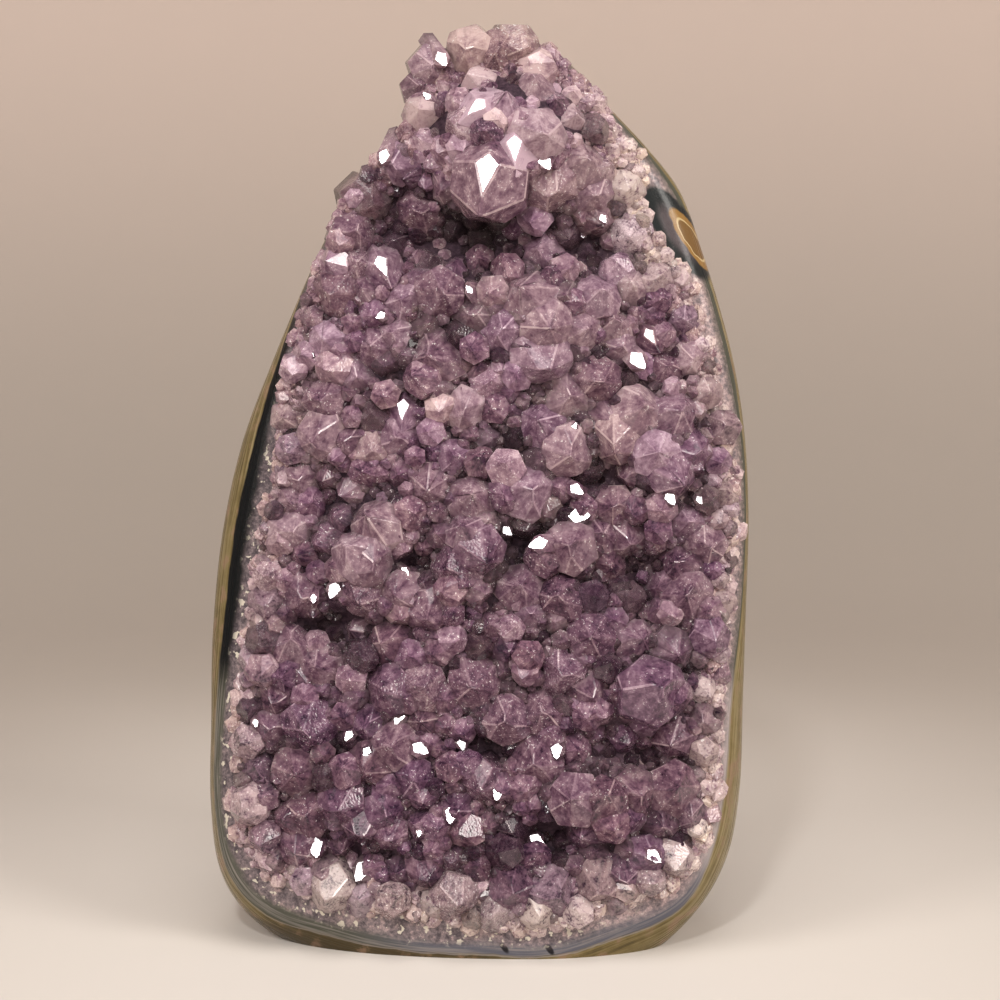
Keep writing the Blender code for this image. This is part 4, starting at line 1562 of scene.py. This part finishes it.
    def turn_bright_faces(self) -> None:
        """Turns a crystal at each bright place so that one of its faces mirrors the lamp."""
        small_first = list(Habit).index(Habit.SMALL_FIRST)
        for x, z, width in BRIGHT_FACES:
            near = min(self.crystals, key=lambda c: math.dist((c.tip.x, c.tip.z), (x, z)))
            beside = [c.tip.y for c in self.crystals if math.dist((c.tip.x, c.tip.z), (x, z)) < 4.0]
            front = min(beside + [near.tip.y])
            if width > 3.2 and near.radius > 4.0:
                near.kind = small_first
            else:
                near = Crystal(
                    tip=Vector((x, max(front - 0.2, near.tip.y - 2.5), z)),
                    axis=near.axis,
                    turn=0.0,
                    radius=width * 0.78,
                    length=near.length + 4.0,
                    height=near.height + 1.0,
                    tint=near.tint,
                    paleness=near.paleness,
                    kind=len(Habit) + (2 if width > 2.4 else 1),
                )
                self.crystals.append(near)
            near.finish = 0
            near.frost = 0.0
            self.mirror_lamp(near, x, z)
            for other in self.crystals:
                aside = math.dist((other.tip.x, other.tip.z), (x, z))
                if other is not near and other.radius < 3.5 and aside < width * 0.9:
                    other.tip.y = max(other.tip.y, near.tip.y + 2.5)

    def mirror_lamp(self, crystal: Crystal, x: float, z: float) -> None:
        """Turns a crystal so that its first face mirrors the lamp to the eye, and is seen at a place.

        Args:
            crystal: The crystal to turn and move.
            x: Where the bright face is seen, across.
            z: Where the bright face is seen, up.
        """
        eye = Vector(self.form.eye)
        seen = Vector((x, crystal.tip.y, z))
        half = ((eye - seen).normalized() + (self.lamp - seen).normalized()).normalized()
        point = self.kinds[crystal.kind]
        aside = (crystal.axis - half * crystal.axis.dot(half)).normalized()
        slope = point.bright_normal.angle(Vector((0.0, 0.0, 1.0)))
        crystal.axis = (half * math.cos(slope) + aside * math.sin(slope)).normalized()
        crystal.turn = 0.0
        normal = self.pose(crystal) @ point.bright_normal
        level = (normal - crystal.axis * normal.dot(crystal.axis)).normalized()
        wanted = (half - crystal.axis * half.dot(crystal.axis)).normalized()
        crystal.turn = math.atan2(crystal.axis.dot(level.cross(wanted)), level.dot(wanted))
        centre = crystal.tip + self.pose(crystal) @ (point.bright_centre * crystal.radius)
        goal_x, goal_z = self.form.on_sight_line(x, z, centre.y)
        crystal.tip.x += goal_x - centre.x
        crystal.tip.z += goal_z - centre.z

    @staticmethod
    def pose(crystal: Crystal) -> Matrix:
        """The turn that brings a point from +Z to the crystal's axis."""
        turn = Matrix.Rotation(crystal.turn, 3, crystal.axis)
        return turn @ crystal.axis.to_track_quat("Z", "Y").to_matrix()

    def build(self, finishes: list[bpy.types.Material]) -> list[bpy.types.Object]:
        """Places and joins all the crystals.

        Args:
            finishes: The milky finish, the glassy one, and that of the fine crystals.

        Returns:
            The piece with the field, and the piece with the fine crystals along the rim.
        """
        self.kinds = [QuartzPoint(habit, bevel) for bevel in (0.035, 0.0) for habit in Habit]
        self.place_large()
        self.place_small()
        self.turn_bright_faces()
        rim = self.place_rim()
        self.sink(self.crystals)
        return [
            self.join("amethyst_crystals", self.crystals, finishes),
            self.join("rim_crystals", rim, finishes),
        ]

    def join(self, name: str, crystals: list[Crystal], finishes: list[bpy.types.Material]) -> bpy.types.Object:
        """Joins crystals into one piece.

        Args:
            name: The piece's name.
            crystals: The crystals, already placed.
            finishes: The finishes that the crystals name by number.

        Returns:
            The piece, which carries the numbers that its finishes read.
        """
        looks = np.random.default_rng(self.seed)
        points, own, faces, slots = [], [], [], []
        per_point = {reading: [] for reading in ("tint", "depth", "paleness", "frost", "hue", "core")}
        per_face = {reading: [] for reading in ("facet", "edge")}
        start = 0
        for crystal in crystals:
            crystal.tip.y = max(crystal.tip.y, self.front)
            kind = self.kinds[crystal.kind]
            local = kind.points * crystal.radius
            local[kind.foot, 2] = -max(crystal.length, 2.2 * crystal.radius)
            placed = local @ np.array(self.pose(crystal)).T + np.array(crystal.tip)
            placed[:, 2] -= max(0.0, placed[:, 2].max() - self.top)
            points.append(placed)
            own.append(local + np.array((0.0, 0.0, looks.uniform(-200.0, 200.0))))
            faces.extend(tuple(start + i for i in face) for face in kind.faces)
            start += len(local)
            for reading in ("tint", "paleness", "frost", "hue"):
                per_point[reading].append(np.full(len(local), getattr(crystal, reading)))
            # Painted shade: how far each point lies back from its tip, plus how sunk the crystal is
            per_point["depth"].append((placed[:, 1] - crystal.tip.y) * 0.6 + crystal.sunk)
            reach = np.hypot(local[:, 0], local[:, 1]) / crystal.radius
            per_point["core"].append((reach - 0.55) * looks.uniform(-0.10, 0.42))
            per_face["facet"].append(looks.uniform(0.0, 1.0, len(kind.faces)))
            # Painted highlight: some bevelled faces are made lighter
            per_face["edge"].append(kind.on_edge * looks.uniform(0.0, 1.0, len(kind.faces)) ** 4 * 0.5)
            slots.append(np.full(len(kind.faces), crystal.finish))
        mesh = bpy.data.meshes.new(name)
        mesh.from_pydata((np.concatenate(points) * MM).tolist(), [], faces)
        for domain, numbers in (("POINT", per_point), ("FACE", per_face)):
            for reading, parts in numbers.items():
                layer = mesh.attributes.new(reading, "FLOAT", domain)
                layer.data.foreach_set("value", np.concatenate(parts).astype(np.float32))
        layer = mesh.attributes.new("own", "FLOAT_VECTOR", "POINT")
        layer.data.foreach_set("vector", np.concatenate(own).astype(np.float32).ravel())
        for finish in finishes:
            mesh.materials.append(finish)
        mesh.polygons.foreach_set("material_index", np.concatenate(slots).astype(np.int32))
        piece = add_object(name, mesh)
        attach(piece, "root")
        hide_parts("amethyst_crust")
        return piece


@dataclass
class Studio:
    """The sweep, the lights and the camera, in metres.

    Args:
        lamp: Where the lamp is, in millimetres.
        boxes: For each soft box: its name, where it is, what it faces, its size and its power.
        box_colour: The colour of the soft boxes.
        lens: The camera's focal length, in millimetres.
        sensor: The width of its film, in millimetres.
        camera_at: Where it is.
        camera_dips: How far it looks down.
        wall_radius: How far the wall stands from the middle of the floor.
        wall_middle: How far in front of the stone that middle is.
        curve: The radius of the curve between floor and wall.
        top: How high the wall is.
    """

    lamp: Vector
    boxes: tuple[tuple[str, Place, Place, float, float], ...] = (
        ("left_box", (-0.70, -0.5, 0.62), (0.0, 0.0, 0.09), 0.36, 3.4),
        ("right_box", (0.74, -0.56, 0.66), (0.0, 0.0, 0.09), 0.36, 6.3),
        ("front_box", (0.0, -1.15, 0.42), (0.0, 0.0, 0.09), 0.5, 3.4),
        ("over_box", (0.0, -0.30, 1.10), (0.0, -0.05, 0.0), 0.6, 4.5),
    )
    box_colour: Colour = (1.0, 0.955, 0.90)
    lens: float = 85.0
    sensor: float = 36.0
    camera_at: tuple[float, float, float] = (0.0045, -0.54212, 0.16710)
    camera_dips: float = math.radians(7.0)
    wall_radius: float = 1.25
    wall_middle: float = -0.35
    curve: float = 0.50
    top: float = 1.5

    def build(self) -> None:
        """Builds the sweep, the lights and the camera."""
        self.make_sweep()
        self.make_lights()
        self.make_camera()

    def make_sweep(self) -> None:
        """Turns the section of a floor that curves up into a wall, so that it is pale from every side."""
        section = [(0.0, 0.0)]
        for step in range(17):
            turn = step / 16 * math.pi / 2
            out = self.wall_radius - self.curve * (1 - math.sin(turn))
            section.append((out, self.curve * (1 - math.cos(turn))))
        section.append((self.wall_radius, self.top))
        shape = bmesh.new()
        verts = [shape.verts.new((out, 0.0, up)) for out, up in section]
        edges = [shape.edges.new(pair) for pair in zip(verts, verts[1:])]
        bmesh.ops.spin(
            shape, geom=verts + edges, cent=(0.0, 0.0, 0.0), axis=(0.0, 0.0, 1.0), angle=math.tau, steps=96
        )
        bmesh.ops.remove_doubles(shape, verts=shape.verts, dist=1e-5)
        bmesh.ops.translate(shape, verts=shape.verts, vec=(0.0, self.wall_middle, 0.0))
        shape.normal_update()
        if sum(face.normal.z * face.calc_area() for face in shape.faces) < 0:
            bmesh.ops.reverse_faces(shape, faces=shape.faces)
        for face in shape.faces:
            face.smooth = True
        mesh = bpy.data.meshes.new("sweep")
        shape.to_mesh(mesh)
        shape.free()
        mesh.materials.append(SweepFinish().make())
        add_object("sweep", mesh)

    def add_light(self, name: str, at: Vector, aim: Vector, size: float, power: float, colour: Colour) -> None:
        """Adds a square area light that faces a point.

        Args:
            name: Its name.
            at: Where it is.
            aim: What it faces.
            size: The length of its sides.
            power: Its power, in watts.
            colour: Its colour.
        """
        light = bpy.data.lights.new(name, "AREA")
        light.size = size
        light.energy = power
        light.color = colour
        lamp = add_object(name, light)
        lamp.location = at
        lamp.rotation_euler = (aim - at).to_track_quat("-Z", "Y").to_euler()

    def make_lights(self) -> None:
        """Two soft boxes in front, one overhead, and a small lamp for the bright faces."""
        for name, at, aim, size, power in self.boxes:
            self.add_light(name, Vector(at), Vector(aim), size, power, self.box_colour)
        self.add_light("lamp", self.lamp * MM, Vector((0.0, 0.0, 0.09)), 0.09, 4.0, (1.0, 0.98, 0.96))
        world = bpy.data.worlds.new("studio")
        world.use_nodes = True
        world.node_tree.nodes["Background"].inputs[0].default_value = (0.95, 0.9, 0.84, 1.0)
        world.node_tree.nodes["Background"].inputs[1].default_value = 0.06
        bpy.context.scene.world = world

    def make_camera(self) -> None:
        """Sets the camera level across, in front of the stone and dipped a little."""
        camera = bpy.data.cameras.new("camera")
        camera.lens = self.lens
        camera.sensor_width = self.sensor
        view = add_object("camera", camera)
        view.location = self.camera_at
        view.rotation_euler = (math.pi / 2 - self.camera_dips, 0.0, 0.0)
        bpy.context.scene.camera = view
        bpy.context.scene.view_settings.view_transform = "Standard"


def main() -> None:
    """Builds each piece in turn and reports it."""
    logging.basicConfig(level=logging.INFO, format="%(message)s")
    form = StoneForm()
    lamp = Vector(LAMP_AT)
    pieces = [
        PolishedRind(form).build(RindFinish().make()),
        QuartzBed(form).build(QuartzFinish().make()),
        *CrystalField(form, lamp).build(
            [
                AmethystFinish("amethyst_milky", 0.2).make(),
                AmethystFinish("amethyst_glassy", 0.7).make(),
                AmethystFinish("amethyst_fine", 0.0).make(),
            ]
        ),
    ]
    for piece in pieces:
        piece.data.calc_loop_triangles()
        LOG.info("%s: %d triangles", piece.name, len(piece.data.loop_triangles))
    Studio(lamp).build()


if __name__ == "__main__":
    main()
